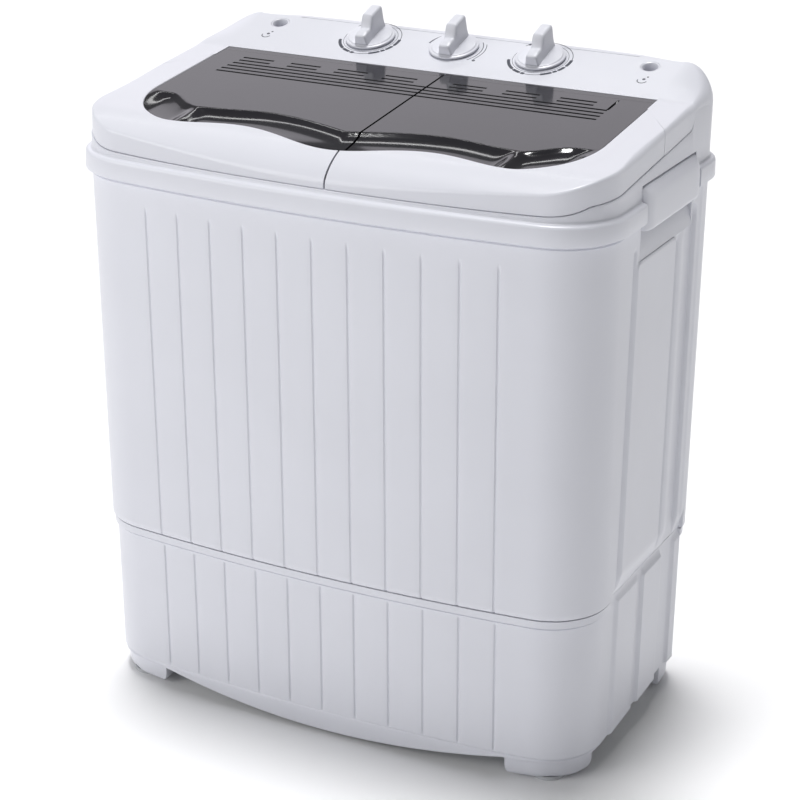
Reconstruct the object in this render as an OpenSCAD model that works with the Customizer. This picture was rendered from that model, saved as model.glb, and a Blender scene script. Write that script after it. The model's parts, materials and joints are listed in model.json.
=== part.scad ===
// Twin tub washer: a wash tub on the left and a spin basket on the right, in millimetres.
// X runs to the right, Y to the back, Z up. The origin is on the floor under the cabinet's middle.

/* [Cabinet] */
// Width of the cabinet across its side walls
body_w = 580; // [574:1:586]
// Depth of the cabinet just below the lids
body_d = 356; // [352:1:360]
// How far the middle of the front stands out before its corners
front_bow = 20; // [14:1:24]
// Plan radius of the two front corners
corner_front = 66; // [60:1:70]
// Plan radius of the two back corners
corner_back = 45; // [40:1:48]
// Wall thickness of the moulded shells
wall = 3; // [2.6:0.1:3.2]
// How far the front leans in towards the floor, in degrees
front_lean = 2.26; // [1.6:0.02:2.6]
// Height of the step between the base and the cabinet shell
step_z = 192; // [188:1:196]
// Height of the seam between the cabinet shell and the top cover
seam_z = 584; // [580:1:588]
// How far the cover's flange stands out all round
flange_out = 7; // [5:0.5:7]
// Height of the cover's flange band
flange_h = 20; // [16:1:22]
// Distance between the vertical flutes on the front
flute_pitch = 39; // [37:0.5:40]
// Number of vertical flutes
flutes = 11; // [7:2:11]

/* [Base] */
// How far the base is set in below the cabinet shell
base_inset = 5; // [4:0.5:5]
// Height of the groove round the bottom of the base
rail_z = 27.5; // [26:0.5:30]
// Height of the base's lower edge at the middle of the front
skirt_z = 3.8; // [3.6:0.1:6]
// Thickness of the rubber pad under each foot
pad_h = 4; // [3:0.5:5]
// Height of the base's floor plate
floor_z = 32; // [30:1:34]

/* [Top] */
// Y of the line where the lids end and the control panel starts
hinge_line_y = 88; // [86:1:90]
// Height of that line
hinge_line_z = 669.8; // [668:0.2:671]
// Rise of the lids towards the back, per unit of depth
lid_rise = 0.11; // [0.10:0.005:0.12]
// Tilt of the control panel, in degrees
panel_tilt = 18; // [16:0.5:19]
// X of the seam between the two lids
lid_seam_x = 14; // [12:1:18]
// Half the width of the smoked windows together
window_x = 250; // [246:1:252]
// Depth of the lid below its own top surface at the sides
lid_depth = 24.5; // [22:0.5:26]

/* [Wash side] */
// Middle of the wash tub, in X
wash_x = -135; // [-137:1:-133]
// Middle of both tubs, in Y
tub_y = -31; // [-32:1:-30]
// Outer width of the wash tub
wash_w = 268; // [260:1:270]
// Outer depth of the wash tub
wash_d = 226; // [220:1:228]
// Outer corner radius of the wash tub
wash_r = 43; // [36:1:50]
// Radius of the pulsator
pulsator_r = 104; // [98:1:106]
// Radius of the large drive pulley
drive_r = 72; // [68:1:74]
// Radius of the motor pulley
motor_pulley_r = 19; // [17:0.5:20]

/* [Spin side] */
// Middle of the spin tub, in X
spin_x = 150; // [148:1:152]
// Outer radius of the spin tub
spin_tub_r = 113; // [110:1:114]
// Outer radius of the spin basket
basket_r = 96; // [92:1:97]
// Radius of the brake drum
drum_r = 44; // [40:1:45]

/* [Controls] */
// Distance between neighbouring knobs
knob_pitch = 100; // [96:1:104]
// Radius of a knob's skirt
knob_r = 27; // [24:0.5:28]
// Distance of the knobs up the panel from its front edge
knob_up = 52; // [50:0.5:54]
// X of each water inlet, either side of the middle
inlet_x = 218; // [214:1:222]

/* [Hidden] */

$fn = 96;
eps = 1;

half_w = body_w / 2;
half_d = body_d / 2;
flange_z = seam_z + flange_h;
cover_white = [0.93, 0.94, 0.96];
steel = [0.72, 0.73, 0.75];
rubber = [0.15, 0.15, 0.16];
smoke = [0.25, 0.25, 0.28];

// Lid and panel surfaces, as heights over Y
roll_y = -120;
roll_len = 59;
roll_h = 34;
edge_front_z = 609;
edge_bend_y = -142;
lid_gap = 0.5;
hinge_y = 80;
hinge_z = 664;
hinge_r = 5;
pin_r = 2;
run = 0.05;
side_gap = 0.6;
block_front_y = 6;
block_back_y = 60;
house_y = 89.5;
panel_len = 79;
fascia_t = 3;
roof_back_y = 170;
seam_half = 1;

function lid_z(y) = hinge_line_z + lid_rise * (y - hinge_line_y);
function roll_drop(y) =
    y > roll_y ? 0 : roll_h * (1 - sqrt(max(0, 1 - pow((roll_y - y) / roll_len, 2))));
function lid_top_z(y) = lid_z(y) - roll_drop(y);
function edge_z(y) = y > edge_bend_y
    ? lid_z(y) - lid_depth
    : edge_front_z + (lid_z(edge_bend_y) - lid_depth - edge_front_z) * pow((y + half_d) / (edge_bend_y + half_d), 2);
function panel_z(y) = hinge_line_z + tan(panel_tilt) * (y - hinge_line_y);

// Plan outlines: a bowed front with round corners, straight sides, a straight back with round corners
function arc(cx, cy, r, a0, a1, n) =
    [for (i = [0:n]) let (a = a0 + (a1 - a0) * i / n) [cx + r * cos(a), cy + r * sin(a)]];
function bow_y(x) = front_bow * pow(x / half_w, 2);
bow_steps = 8;
bow_angle = atan(2 * front_bow * (half_w - corner_front) / pow(half_w, 2));
function front_edge(inset) =
    let (r = corner_front - inset, cx = half_w - inset - r, xs = cx + r * sin(bow_angle),
         yf = -half_d + inset, cy = yf + bow_y(xs) + r * cos(bow_angle))
    concat(
        arc(-cx, cy, r, 180, 270 - bow_angle, 7),
        [for (k = [1 - bow_steps:bow_steps - 1]) let (x = xs * k / bow_steps) [x, yf + bow_y(x)]],
        arc(cx, cy, r, bow_angle - 90, 0, 7));
function back_edge(inset) =
    let (r = corner_back - inset, cx = half_w - inset - r, cy = half_d - inset - r)
    concat(arc(cx, cy, r, 0, 90, 6), arc(-cx, cy, r, 90, 180, 6));
function rounded_rect(cx, cy, w, d, r) = concat(
    arc(cx + w / 2 - r, cy + d / 2 - r, r, 0, 90, 8),
    arc(cx - w / 2 + r, cy + d / 2 - r, r, 90, 180, 8),
    arc(cx - w / 2 + r, cy - d / 2 + r, r, 180, 270, 8),
    arc(cx + w / 2 - r, cy - d / 2 + r, r, 270, 360, 8));

module plan_prism(inset, z0, z1) {
    translate([0, 0, z0])
        linear_extrude(z1 - z0)
            polygon(concat(front_edge(inset), back_edge(inset)));
}

far = 400;
// A straight prism whose front alone leans in towards the floor
module lean_prism(inset, z0, z1) {
    hw = half_w - inset;
    intersection() {
        translate([0, 0, z0])
            linear_extrude(z1 - z0)
                polygon(concat(back_edge(inset), [[-hw, -far], [hw, -far]]));
        translate([0, -half_d, seam_z])
            rotate([front_lean, 0, 0])
                translate([0, half_d, -seam_z - 40])
                    linear_extrude(seam_z + 80)
                        polygon(concat(front_edge(inset), [[hw, far], [-hw, far]]));
    }
}

// Extrudes a [Y, Z] outline along X
module side_prism(x0, x1, points) {
    translate([x0, 0, 0])
        rotate([90, 0, 90])
            linear_extrude(x1 - x0)
                polygon(points);
}

module at_panel(x, up, over) {
    translate([0, hinge_line_y, hinge_line_z])
        rotate([panel_tilt, 0, 0])
            translate([x, up, over])
                children();
}

module rod_x(x0, x1, y, z, r) {
    translate([x0, y, z])
        rotate([0, 90, 0])
            cylinder(r = r, h = x1 - x0);
}

module rod_y(y0, y1, x, z, r) {
    translate([x, y0, z])
        rotate([-90, 0, 0])
            cylinder(r = r, h = y1 - y0);
}

// ---------------------------------------------------------------- base

foot_r = 42;
foot_x = 248;
foot_front_y = -118;
foot_back_y = 132;
pad_r = 18;
pad_x = 243;
pad_front_y = -108;
pad_back_y = 124;
floor_t = 4;
skirt_curve_r = 1570;
post_ring_r = 78;
post_r = 14;
seat_z = 104;
seat_boss_h = 5;
spring_r = 10;
gland_x = 215;
gland_z = 110;
gland_r = 7;
gland_bore_r = 4;

module at_spin(z) {
    translate([spin_x, tub_y, z])
        children();
}

module post_ring() {
    for (a = [90, 210, 330])
        translate([post_ring_r * cos(a), post_ring_r * sin(a), 0])
            children();
}

module skirt_round() {
    translate([0, far, skirt_z + skirt_curve_r])
        rotate([90, 0, 0])
            cylinder(r = skirt_curve_r, h = 2 * far, $fn = 180);
}

module foot_blocks() {
    intersection() {
        lean_prism(base_inset + 0.6, pad_h, floor_z + eps);
        for (sx = [-1, 1], y = [foot_front_y, foot_back_y])
            translate([sx * foot_x, y, pad_h])
                cylinder(r = foot_r, h = floor_z);
    }
}

module base_flutes() {
    for (k = [0:flutes - 1]) {
        x = (k - (flutes - 1) / 2) * flute_pitch;
        translate([x, bow_y(x) - half_d + base_inset, seam_z])
            rotate([front_lean, 0, 0])
                translate([0, 0, rail_z - seam_z])
                    cylinder(r = 1.6, h = 147, $fn = 16);
    }
}

module base_chassis() {
    color(cover_white)
    difference() {
        union() {
            intersection() {
                difference() {
                    lean_prism(base_inset, skirt_z, step_z);
                    lean_prism(base_inset + wall, skirt_z - eps, step_z + eps);
                }
                skirt_round();
            }
            lean_prism(base_inset + wall - 0.5, floor_z, floor_z + floor_t);
            foot_blocks();
            at_spin(floor_z + 1)
                post_ring() {
                    cylinder(r = post_r, h = seat_z - floor_z - 1);
                    cylinder(r = spring_r - 3.5, h = seat_z + seat_boss_h - floor_z - 1);
                }
        }
        base_flutes();
        gland_block(half_d - 30, half_d + 10);
    }
}

// The square snap-in body of the cord gland, from y0 to y1
module gland_block(y0, y1) {
    translate([gland_x - gland_r, y0, gland_z - gland_r])
        cube([2 * gland_r, y1 - y0, 2 * gland_r]);
}

module cord_gland() {
    color(rubber)
    difference() {
        union() {
            rod_y(half_d - base_inset, half_d - base_inset + 3, gland_x, gland_z, gland_r + 3);
            gland_block(half_d - base_inset - 8, half_d - base_inset + 1);
        }
        rod_y(half_d - 30, half_d + 10, gland_x, gland_z, gland_bore_r);
    }
}

module foot_pads() {
    color(rubber)
    for (sx = [-1, 1], y = [pad_front_y, pad_back_y])
        translate([sx * pad_x, y, 0])
            cylinder(r = pad_r, h = pad_h);
}

// ---------------------------------------------------------------- cabinet shell and rear panel

handle_y0 = -52;
handle_y1 = 98;
handle_z0 = 545;
handle_z1 = 620;
panel_x = 205;
panel_z0 = 235;
panel_z1 = 550;
screw_r = 2;
drain_x = -64;
drain_pipe_z = 206;
drain_r = 11;
flute_r = 1.6;
flute_top_z = seam_z - 23;
rib_y0 = -55;
rib_y1 = 50;
rib_top_z = 545;
side_groove_y = [-66, 58];
channel_y = 95;
channel_w = 32;
channel_top_z = 567;
channel_depth = 1.4;

module panel_screw_places() {
    for (x = [-1, 1], z = [panel_z0 + 8, (panel_z0 + panel_z1) / 2, panel_z1 - 8])
        translate([x * (panel_x - 8), 0, z])
            children();
}

module shell_flutes() {
    for (k = [0:flutes - 1]) {
        x = (k - (flutes - 1) / 2) * flute_pitch;
        translate([x, bow_y(x) - half_d, seam_z])
            rotate([front_lean, 0, 0])
                translate([0, 0, step_z - seam_z - 4])
                    cylinder(r = flute_r, h = flute_top_z - step_z + 4, $fn = 16);
    }
}

module side_relief() {
    for (sx = [-1, 1]) {
        for (y = side_groove_y)
            translate([sx * half_w, y, step_z - eps])
                cylinder(r = flute_r, h = flute_top_z - step_z, $fn = 16);
        intersection() {
            translate([sx * half_w - channel_depth, channel_y - channel_w / 2, step_z - eps])
                cube([2 * channel_depth, channel_w, channel_top_z - step_z + eps]);
            union() {
                translate([sx * half_w - 5, channel_y - channel_w / 2, step_z - eps])
                    cube([10, channel_w, channel_top_z - channel_w / 2 - step_z + eps]);
                rod_x(sx * half_w - 5, sx * half_w + 5, channel_y, channel_top_z - channel_w / 2, channel_w / 2);
            }
        }
    }
}

module cabinet_shell() {
    color(cover_white)
    difference() {
        union() {
            difference() {
                lean_prism(0, step_z, seam_z);
                lean_prism(wall, step_z - eps, seam_z + eps);
            }
            difference() {
                lean_prism(1, step_z, step_z + wall);
                lean_prism(base_inset + wall, step_z - eps, step_z + wall + eps);
            }
            for (sx = [-1, 1])
                translate([sx * half_w - 1, rib_y0, step_z])
                    cube([2, rib_y1 - rib_y0, rib_top_z - step_z]);
        }
        shell_flutes();
        side_relief();
        for (sx = [-1, 1])
            translate([sx * half_w - 10, handle_y0 - 0.3, handle_z0 - 0.3])
                cube([20, handle_y1 - handle_y0 + 0.6, far]);
        translate([-panel_x + 15, half_d - 10, panel_z0 + 15])
            cube([2 * (panel_x - 15), 20, panel_z1 - panel_z0 - 30]);
        panel_screw_places()
            rod_y(half_d - 10, half_d + 10, 0, 0, screw_r + 0.02);
        rod_y(half_d - 10, half_d + 10, drain_x, drain_pipe_z, drain_r + 0.3);
    }
}

module rear_panel() {
    color(cover_white)
    difference() {
        translate([-panel_x, half_d, panel_z0])
            cube([2 * panel_x, 2.4, panel_z1 - panel_z0]);
        panel_screw_places()
            rod_y(half_d - 10, half_d + 10, 0, 0, screw_r + 0.02);
        for (k = [0:5])
            translate([-60, half_d - eps, panel_z0 + 40 + 14 * k])
                cube([120, 5, 5]);
    }
}

module rear_panel_screws() {
    color(steel)
    panel_screw_places() {
        rod_y(half_d - 8, half_d + 2.4, 0, 0, screw_r);
        difference() {
            rod_y(half_d + 2.4, half_d + 4.6, 0, 0, 4);
            translate([-3, half_d + 3.4, -0.5])
                cube([6, 5, 1]);
        }
    }
}

// ---------------------------------------------------------------- top cover

deck_z = 590;
deck_t = 4;
tub_top_z = deck_z + deck_t;
mouth_gap = 0.5;

// Height steps of the lid's lower edge and of its rolled front
edge_ys = [-half_d - 8, -170, -162, -152, edge_bend_y, hinge_line_y];
top_ys = [hinge_line_y - 1, roll_y, -135, -148, -158, -166, -172, -176, -half_d];

function rim_profile() = concat(
    [[hinge_line_y, seam_z], [-half_d - 8, seam_z]],
    [for (y = edge_ys) [y, edge_z(max(y, -half_d)) - lid_gap]]);

function house_profile(drop) = [
    [0, tub_top_z], [0, lid_z(0) - drop], [hinge_line_y, hinge_line_z - drop],
    [hinge_line_y + panel_len * cos(panel_tilt), hinge_line_z + panel_len * sin(panel_tilt) - drop],
    [roof_back_y, panel_z(roof_back_y - 6) - drop],
    [roof_back_y + 5, panel_z(roof_back_y - 6) - 3 - drop],
    [half_d, panel_z(roof_back_y - 6) - 9 - drop],
    [half_d + 30, panel_z(roof_back_y - 6) - 9 - drop], [half_d + 30, tub_top_z]];

// The part of the plan that the lids cover, up to the panel and the slanted rear borders
module lid_zone(grow, z0, z1) {
    translate([0, 0, z0])
        linear_extrude(z1 - z0)
            polygon([
                [window_x + grow, house_y], [window_x + grow, block_back_y + grow],
                [half_w + 4, block_front_y + grow - 5.4], [half_w + 4, -far], [-half_w - 4, -far],
                [-half_w - 4, block_front_y + grow - 5.4], [-window_x - grow, block_back_y + grow],
                [-window_x - grow, house_y]]);
}

module house_cavity() {
    in_x = window_x + side_gap + wall;
    intersection() {
        plan_prism(wall, deck_z - eps, hinge_line_z + far);
        side_prism(-far, far, house_profile(wall));
        translate([0, 0, deck_z - eps])
            linear_extrude(far)
                polygon([
                    [in_x, house_y + wall], [in_x, block_back_y + 4.4], [half_w, block_front_y + 13],
                    [half_w, far], [-half_w, far], [-half_w, block_front_y + 13],
                    [-in_x, block_back_y + 4.4], [-in_x, house_y + wall]]);
    }
}

module fascia_ledge() {
    difference() {
        at_panel(-window_x - 2, 1.8, -2 * fascia_t)
            cube([2 * window_x + 4, panel_len + 1, fascia_t]);
        at_panel(-window_x + 5, 6, -3 * fascia_t)
            cube([2 * window_x - 10, panel_len - 10, 3 * fascia_t]);
    }
}

module tub_mouths() {
    translate([0, 0, deck_z - eps])
        linear_extrude(deck_t + 2 * eps)
            polygon(rounded_rect(wash_x, tub_y, wash_w + 2 * mouth_gap, wash_d + 2 * mouth_gap, wash_r + mouth_gap));
    at_spin(deck_z - eps)
        cylinder(r = spin_tub_r + mouth_gap, h = deck_t + 2 * eps);
}

module top_cover() {
    color(cover_white)
    difference() {
        union() {
            difference() {
                plan_prism(-flange_out, seam_z, flange_z);
                plan_prism(wall, seam_z - eps, flange_z + eps);
            }
            intersection() {
                difference() {
                    plan_prism(0, seam_z + 1, hinge_line_z);
                    plan_prism(wall, seam_z, hinge_line_z + eps);
                }
                side_prism(-far, far, rim_profile());
            }
            difference() {
                intersection() {
                    plan_prism(0, deck_z, hinge_line_z + far);
                    side_prism(-far, far, house_profile(0));
                }
                lid_zone(side_gap, deck_z, hinge_line_z + far);
                house_cavity();
            }
            intersection() {
                fascia_ledge();
                plan_prism(1, deck_z, hinge_line_z + far);
                translate([-far, house_y + 0.5, 0])
                    cube([2 * far, half_d - house_y - 1, far * 2]);
            }
        }
        translate([0, 0, deck_z])
            linear_extrude(deck_t + tub_flange_t + 0.3)
                polygon(rounded_rect(wash_x, tub_y, wash_w + 2 * tub_flange + 0.6, wash_d + 2 * tub_flange + 0.6,
                                     wash_r + tub_flange + 0.3));
        at_panel(-window_x + 0.7, -2, -fascia_t)
            cube([2 * window_x - 1.4, panel_len + 2, far]);
        at_panel(-window_x + 5, -5, -12)
            cube([2 * window_x - 10, 6, far]);
        rod_x(-window_x - 8, window_x + 8, hinge_y, hinge_z, pin_r + run);
        handle_recesses();
    }
}

module handle_recesses() {
    for (sx = [-1, 1])
        translate([sx * half_w - 15, handle_y0 - 0.3, 0])
            cube([30, handle_y1 - handle_y0 + 0.6, handle_z1 + 0.3]);
}

// The plate that holds the rims of both tubs, with two openings for the wiring of the controls
module tub_deck() {
    color(cover_white)
    difference() {
        plan_prism(wall, deck_z, deck_z + deck_t);
        tub_mouths();
        handle_recesses();
        for (x = [-150, 60])
            translate([x, house_y + 20, deck_z - eps])
                cube([90, 50, deck_t + 2 * eps]);
    }
}

module center_hinge_bracket() {
    color(steel)
    difference() {
        union() {
            translate([lid_seam_x - 1.2, hinge_y - 5, hinge_z - 7])
                cube([2.4, house_y - hinge_y + 5, 9.9]);
            translate([lid_seam_x - 8, house_y - 1.2, hinge_z - 20])
                cube([16, 1.2, 16]);
        }
        rod_x(lid_seam_x - 5, lid_seam_x + 5, hinge_y, hinge_z, pin_r + run);
    }
}

module control_fascia() {
    color(cover_white)
    difference() {
        at_panel(-window_x + 1, 0.4, -fascia_t)
            cube([2 * window_x - 2, panel_len - 0.7, fascia_t]);
        for (k = [-1:1])
            at_panel(k * knob_pitch, knob_up, -fascia_t - eps)
                cylinder(r = 4.5, h = fascia_t + 2 * eps);
        for (sx = [-1, 1])
            at_panel(sx * inlet_x, inlet_up, -fascia_t - eps)
                cylinder(r = inlet_r + 0.3, h = fascia_t + 2 * eps);
    }
}

// ---------------------------------------------------------------- carry handles

handle_out = 9;
handle_t = 3;

// A hood over a scooped back: one continuous hook section in [X, Z], for the right side
function hook_profile() = [
    [half_w - 0.2, handle_z0], [half_w - 3.2, handle_z0], [half_w - 13.8, handle_z0 + 30],
    [half_w - 14.5, handle_z0 + 60], [half_w - 11, handle_z1 - 6], [half_w - 6, handle_z1 - 2],
    [half_w - 1, handle_z1 - 0.5], [half_w + 3.5, handle_z1 - 4], [half_w + 7.5, handle_z1 - 12],
    [half_w + handle_out, handle_z1 - 22], [half_w + handle_out, handle_z0 + 33],
    [half_w + handle_out - 2, handle_z0 + 31], [half_w + handle_out - handle_t, handle_z0 + 34],
    [half_w + handle_out - handle_t, handle_z1 - 22], [half_w + 3, handle_z1 - 12],
    [half_w - 5, handle_z1 - 8], [half_w - 10, handle_z1 - 12], [half_w - 11.5, handle_z0 + 60],
    [half_w - 10.8, handle_z0 + 31]];

module end_plate(y) {
    translate([0, y + handle_t, 0])
        rotate([90, 0, 0])
            linear_extrude(handle_t)
                polygon([for (i = [0:11]) hook_profile()[i]]);
}

module carry_handle() {
    translate([0, handle_y1, 0])
        rotate([90, 0, 0])
            linear_extrude(handle_y1 - handle_y0)
                polygon(hook_profile());
    end_plate(handle_y0);
    end_plate(handle_y1 - handle_t);
}

module carry_handle_right() {
    color(cover_white)
        carry_handle();
}

module carry_handle_left() {
    color(cover_white)
    mirror([1, 0, 0])
        carry_handle();
}

// ---------------------------------------------------------------- lids

skin = 3;
// Front line of the windows: a dip at the seam, a hump, a second dip, then a round corner
win_mid_y = -147;
win_hump_y = -127;
win_dip_y = -136.5;
win_hump_x = 108;
win_dip_x = 184;
win_side_y = -52;

function win_front_y(x) = abs(x) < win_hump_x
    ? (win_mid_y + win_hump_y) / 2 - (win_hump_y - win_mid_y) / 2 * cos(180 * abs(x) / win_hump_x)
    : (win_hump_y + win_dip_y) / 2
      + (win_hump_y - win_dip_y) / 2 * cos(180 * (abs(x) - win_hump_x) / (win_dip_x - win_hump_x));

// Half of the window's plan, on the side that x1 points to, from the seam edge x0
function window_plan(x0, side, inset) = concat(
    [[x0, hinge_line_y - 1]],
    [for (k = [0:14]) let (x = x0 + (side * (win_dip_x - 2) - x0) * k / 14) [x, win_front_y(x) + inset]],
    [for (a = [78:-13:0]) [
        side * (win_dip_x + (window_x - win_dip_x - inset) * cos(a)),
        win_side_y - (win_side_y - win_dip_y - inset) * sin(a)]],
    [[side * (window_x - inset), hinge_line_y - 1]]);

function lid_profile(drop, low) = concat(
    [for (y = top_ys) [y, lid_top_z(y) - drop]],
    [for (y = edge_ys) [y, edge_z(max(y, -half_d)) + lid_gap - low]]);

module half_space(x0, side) {
    translate([side > 0 ? x0 : x0 - far, -far, 0])
        cube([far, 2 * far, 1000]);
}

module lid_block(x0, side, inset, drop, low) {
    intersection() {
        plan_prism(inset, seam_z, hinge_line_z + 20);
        side_prism(-far, far, lid_profile(drop, low));
        half_space(x0, side);
        lid_zone(0, seam_z, hinge_line_z + 20);
    }
}

module window_zone(x0, side, inset) {
    translate([0, 0, seam_z])
        linear_extrude(far)
            polygon(window_plan(x0, side, inset));
}

module lid_frame(x0, side) {
    color(cover_white)
    union() {
        difference() {
            lid_block(x0, side, 0, 0, 0);
            lid_block(x0 - side * 5, side, wall, skin, 10);
            window_zone(x0 - side * 5, side, -0.4);
            translate([side > 0 ? -20 : -window_x, house_y - 40, seam_z])
                cube([window_x + 20, 60, far]);
        }
        intersection() {
            difference() {
                lid_block(x0, side, 1, skin, 0);
                side_prism(-far, far, lid_profile(skin + 2, 10));
            }
            difference() {
                window_zone(x0 - side * 5, side, -2);
                window_zone(x0 - side * 5, side, 8);
            }
            translate([-far, -far, 0])
                cube([2 * far, far + hinge_y - 12, 1000]);
        }
    }
}

louvre_rows = 6;
louvre_pitch = 9.4;
louvre_back_y = 61;
louvre_t = 3;

module louvre_cuts(x0, side) {
    span = window_x - 35;
    for (k = [0:louvre_rows - 1]) {
        y = louvre_back_y - k * louvre_pitch;
        for (j = [0:3]) {
            a = abs(x0) + 5 + j * (span - abs(x0)) / 4;
            b = k < 2 ? a + 36 : a + (span - abs(x0)) / 4 + 0.5;
            translate([side > 0 ? x0 + a - abs(x0) : x0 - b + abs(x0), y - louvre_t / 2, lid_z(y) - 1.2])
                cube([b - a, louvre_t, 5]);
        }
    }
}

module lid_window(x0, side) {
    end_x = side * (window_x - 0.6);
    color(smoke)
    difference() {
        union() {
            intersection() {
                difference() {
                    lid_block(x0, side, 0, 0, 0);
                    side_prism(-far, far, lid_profile(skin, 10));
                }
                window_zone(x0, side, 0);
            }
            side_prism(side > 0 ? x0 : x0 - 2.5, side > 0 ? x0 + 2.5 : x0, [
                [roll_y, lid_z(roll_y) - 1], [roll_y, lid_z(roll_y) - 12],
                [hinge_y - 16, lid_z(hinge_y - 16) - 12], [hinge_y - 16, lid_z(hinge_y - 16) - 1]]);
            rod_x(min(x0 + side * 0.7, end_x), max(x0 + side * 0.7, end_x), hinge_y, hinge_z, hinge_r);
        }
        louvre_cuts(x0, side);
        translate([lid_seam_x - 1.7, hinge_y - 12, 0])
            cube([3.4, 40, 1000]);
        rod_x(end_x - 16, end_x + 16, hinge_y, hinge_z, pin_r + 0.02);
        rod_x(x0 - 16, x0 + 16, hinge_y, hinge_z, pin_r + 0.02);
    }
}

module lid_pins(x0, side) {
    end_x = side * (window_x + 7);
    near_x = lid_seam_x + side * 0.1;
    color(steel) {
        rod_x(min(end_x, end_x - side * 22), max(end_x, end_x - side * 22), hinge_y, hinge_z, pin_r);
        rod_x(min(near_x, near_x + side * 15), max(near_x, near_x + side * 15), hinge_y, hinge_z, pin_r);
    }
}

module wash_lid_frame() { lid_frame(lid_seam_x - seam_half, -1); }
module wash_lid_window() { lid_window(lid_seam_x - seam_half, -1); }
module wash_lid_pins() { lid_pins(lid_seam_x - seam_half, -1); }
module spin_lid_frame() { lid_frame(lid_seam_x + seam_half, 1); }
module spin_lid_window() { lid_window(lid_seam_x + seam_half, 1); }
module spin_lid_pins() { lid_pins(lid_seam_x + seam_half, 1); }

// ---------------------------------------------------------------- controls and water inlets

spindle_r = 3;
spindle_low = -20;
spindle_top = 9;
knob_gap = 1.2;
knob_skirt_h = 4;
grip_w = 13;
grip_back_h = 27;
grip_front_h = 15;
inlet_r = 10;
inlet_bore_r = 7;
inlet_up = 62;
inlet_low = -34;

module control_box(k, w, d, h) {
    color([0.85, 0.85, 0.82])
    difference() {
        union() {
            at_panel(k * knob_pitch - w / 2, knob_up - d / 2, -fascia_t - h)
                cube([w, d, h]);
            at_panel(k * knob_pitch - w / 2 + 6, knob_up - 6, -fascia_t - h - 6)
                cube([w - 12, 12, 6]);
        }
        at_panel(k * knob_pitch, knob_up, spindle_low - 0.5)
            cylinder(r = spindle_r + run, h = far);
    }
}

module spindle(k) {
    color(steel)
    at_panel(k * knob_pitch, knob_up, spindle_low)
        cylinder(r = spindle_r, h = spindle_top - spindle_low);
}

module knob(k) {
    color(cover_white)
    at_panel(k * knob_pitch, knob_up, knob_gap)
        difference() {
            union() {
                cylinder(r = knob_r, h = knob_skirt_h);
                translate([0, 0, knob_skirt_h])
                    cylinder(r = knob_r - 3, h = 2);
                intersection() {
                    cylinder(r = knob_r - 3, h = grip_back_h);
                    side_prism(-grip_w / 2, grip_w / 2, [
                        [-knob_r, knob_skirt_h], [knob_r, knob_skirt_h], [knob_r, grip_back_h],
                        [6, grip_back_h], [-16, grip_front_h], [-knob_r, grip_front_h - 9]]);
                }
            }
            translate([0, 0, -eps])
                cylinder(r = spindle_r + 0.02, h = spindle_top - knob_gap + eps + 0.2);
        }
}

module wash_timer() { control_box(-1, 54, 42, 34); }
module drain_selector() { control_box(0, 42, 38, 26); }
module spin_timer() { control_box(1, 54, 42, 34); }
module wash_timer_spindle() { spindle(-1); }
module selector_spindle() { spindle(0); }
module spin_timer_spindle() { spindle(1); }
module wash_timer_knob() { knob(-1); }
module selector_knob() { knob(0); }
module spin_timer_knob() { knob(1); }

module inlet_port(side) {
    color(cover_white)
    difference() {
        union() {
            at_panel(side * inlet_x, inlet_up, inlet_low)
                cylinder(r = inlet_r, h = -inlet_low - 0.4);
            at_panel(side * inlet_x, inlet_up, -fascia_t - 2.5)
                cylinder(r = inlet_r + 2.5, h = 2.5);
        }
        at_panel(side * inlet_x, inlet_up, inlet_low - eps)
            cylinder(r = inlet_bore_r, h = far);
    }
}

module inlet_ports() {
    inlet_port(-1);
    inlet_port(1);
}

// ---------------------------------------------------------------- wash tub and its fittings

tub_t = 3;
tub_floor_z = 234;
tub_floor_t = 4;
tub_flange = 6;
tub_flange_t = 3;
tub_back_y = tub_y + wash_d / 2;
neck_hole_r = 16;
valve_x = drain_x;
valve_y = 50;
overflow_x = drain_x;
overflow_z = 540;
overflow_y = tub_back_y + drain_r + 2;
overflow_low_z = drain_pipe_z + drain_r + 8;
overflow_r = 8;
duct_x = -135;
duct_w = 80;
duct_d = 9;
duct_low_z = 256;
duct_top_z = 400;
filter_z0 = 410;
filter_z1 = 495;

module wash_tub() {
    color(cover_white)
    difference() {
        union() {
            translate([0, 0, tub_floor_z])
                linear_extrude(tub_top_z - tub_floor_z + tub_flange_t)
                    polygon(rounded_rect(wash_x, tub_y, wash_w, wash_d, wash_r));
            translate([0, 0, tub_top_z])
                linear_extrude(tub_flange_t)
                    polygon(rounded_rect(wash_x, tub_y, wash_w + 2 * tub_flange, wash_d + 2 * tub_flange,
                                         wash_r + tub_flange));
        }
        translate([0, 0, tub_floor_z + tub_floor_t])
            linear_extrude(far)
                polygon(rounded_rect(wash_x, tub_y, wash_w - 2 * tub_t, wash_d - 2 * tub_t, wash_r - tub_t));
        translate([wash_x, tub_y, tub_floor_z - eps])
            cylinder(r = neck_hole_r, h = 10);
        translate([valve_x, valve_y, tub_floor_z - eps])
            cylinder(r = 12, h = 10);
        rod_y(tub_back_y - 10, tub_back_y + 10, overflow_x, overflow_z, overflow_r);
    }
}

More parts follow.
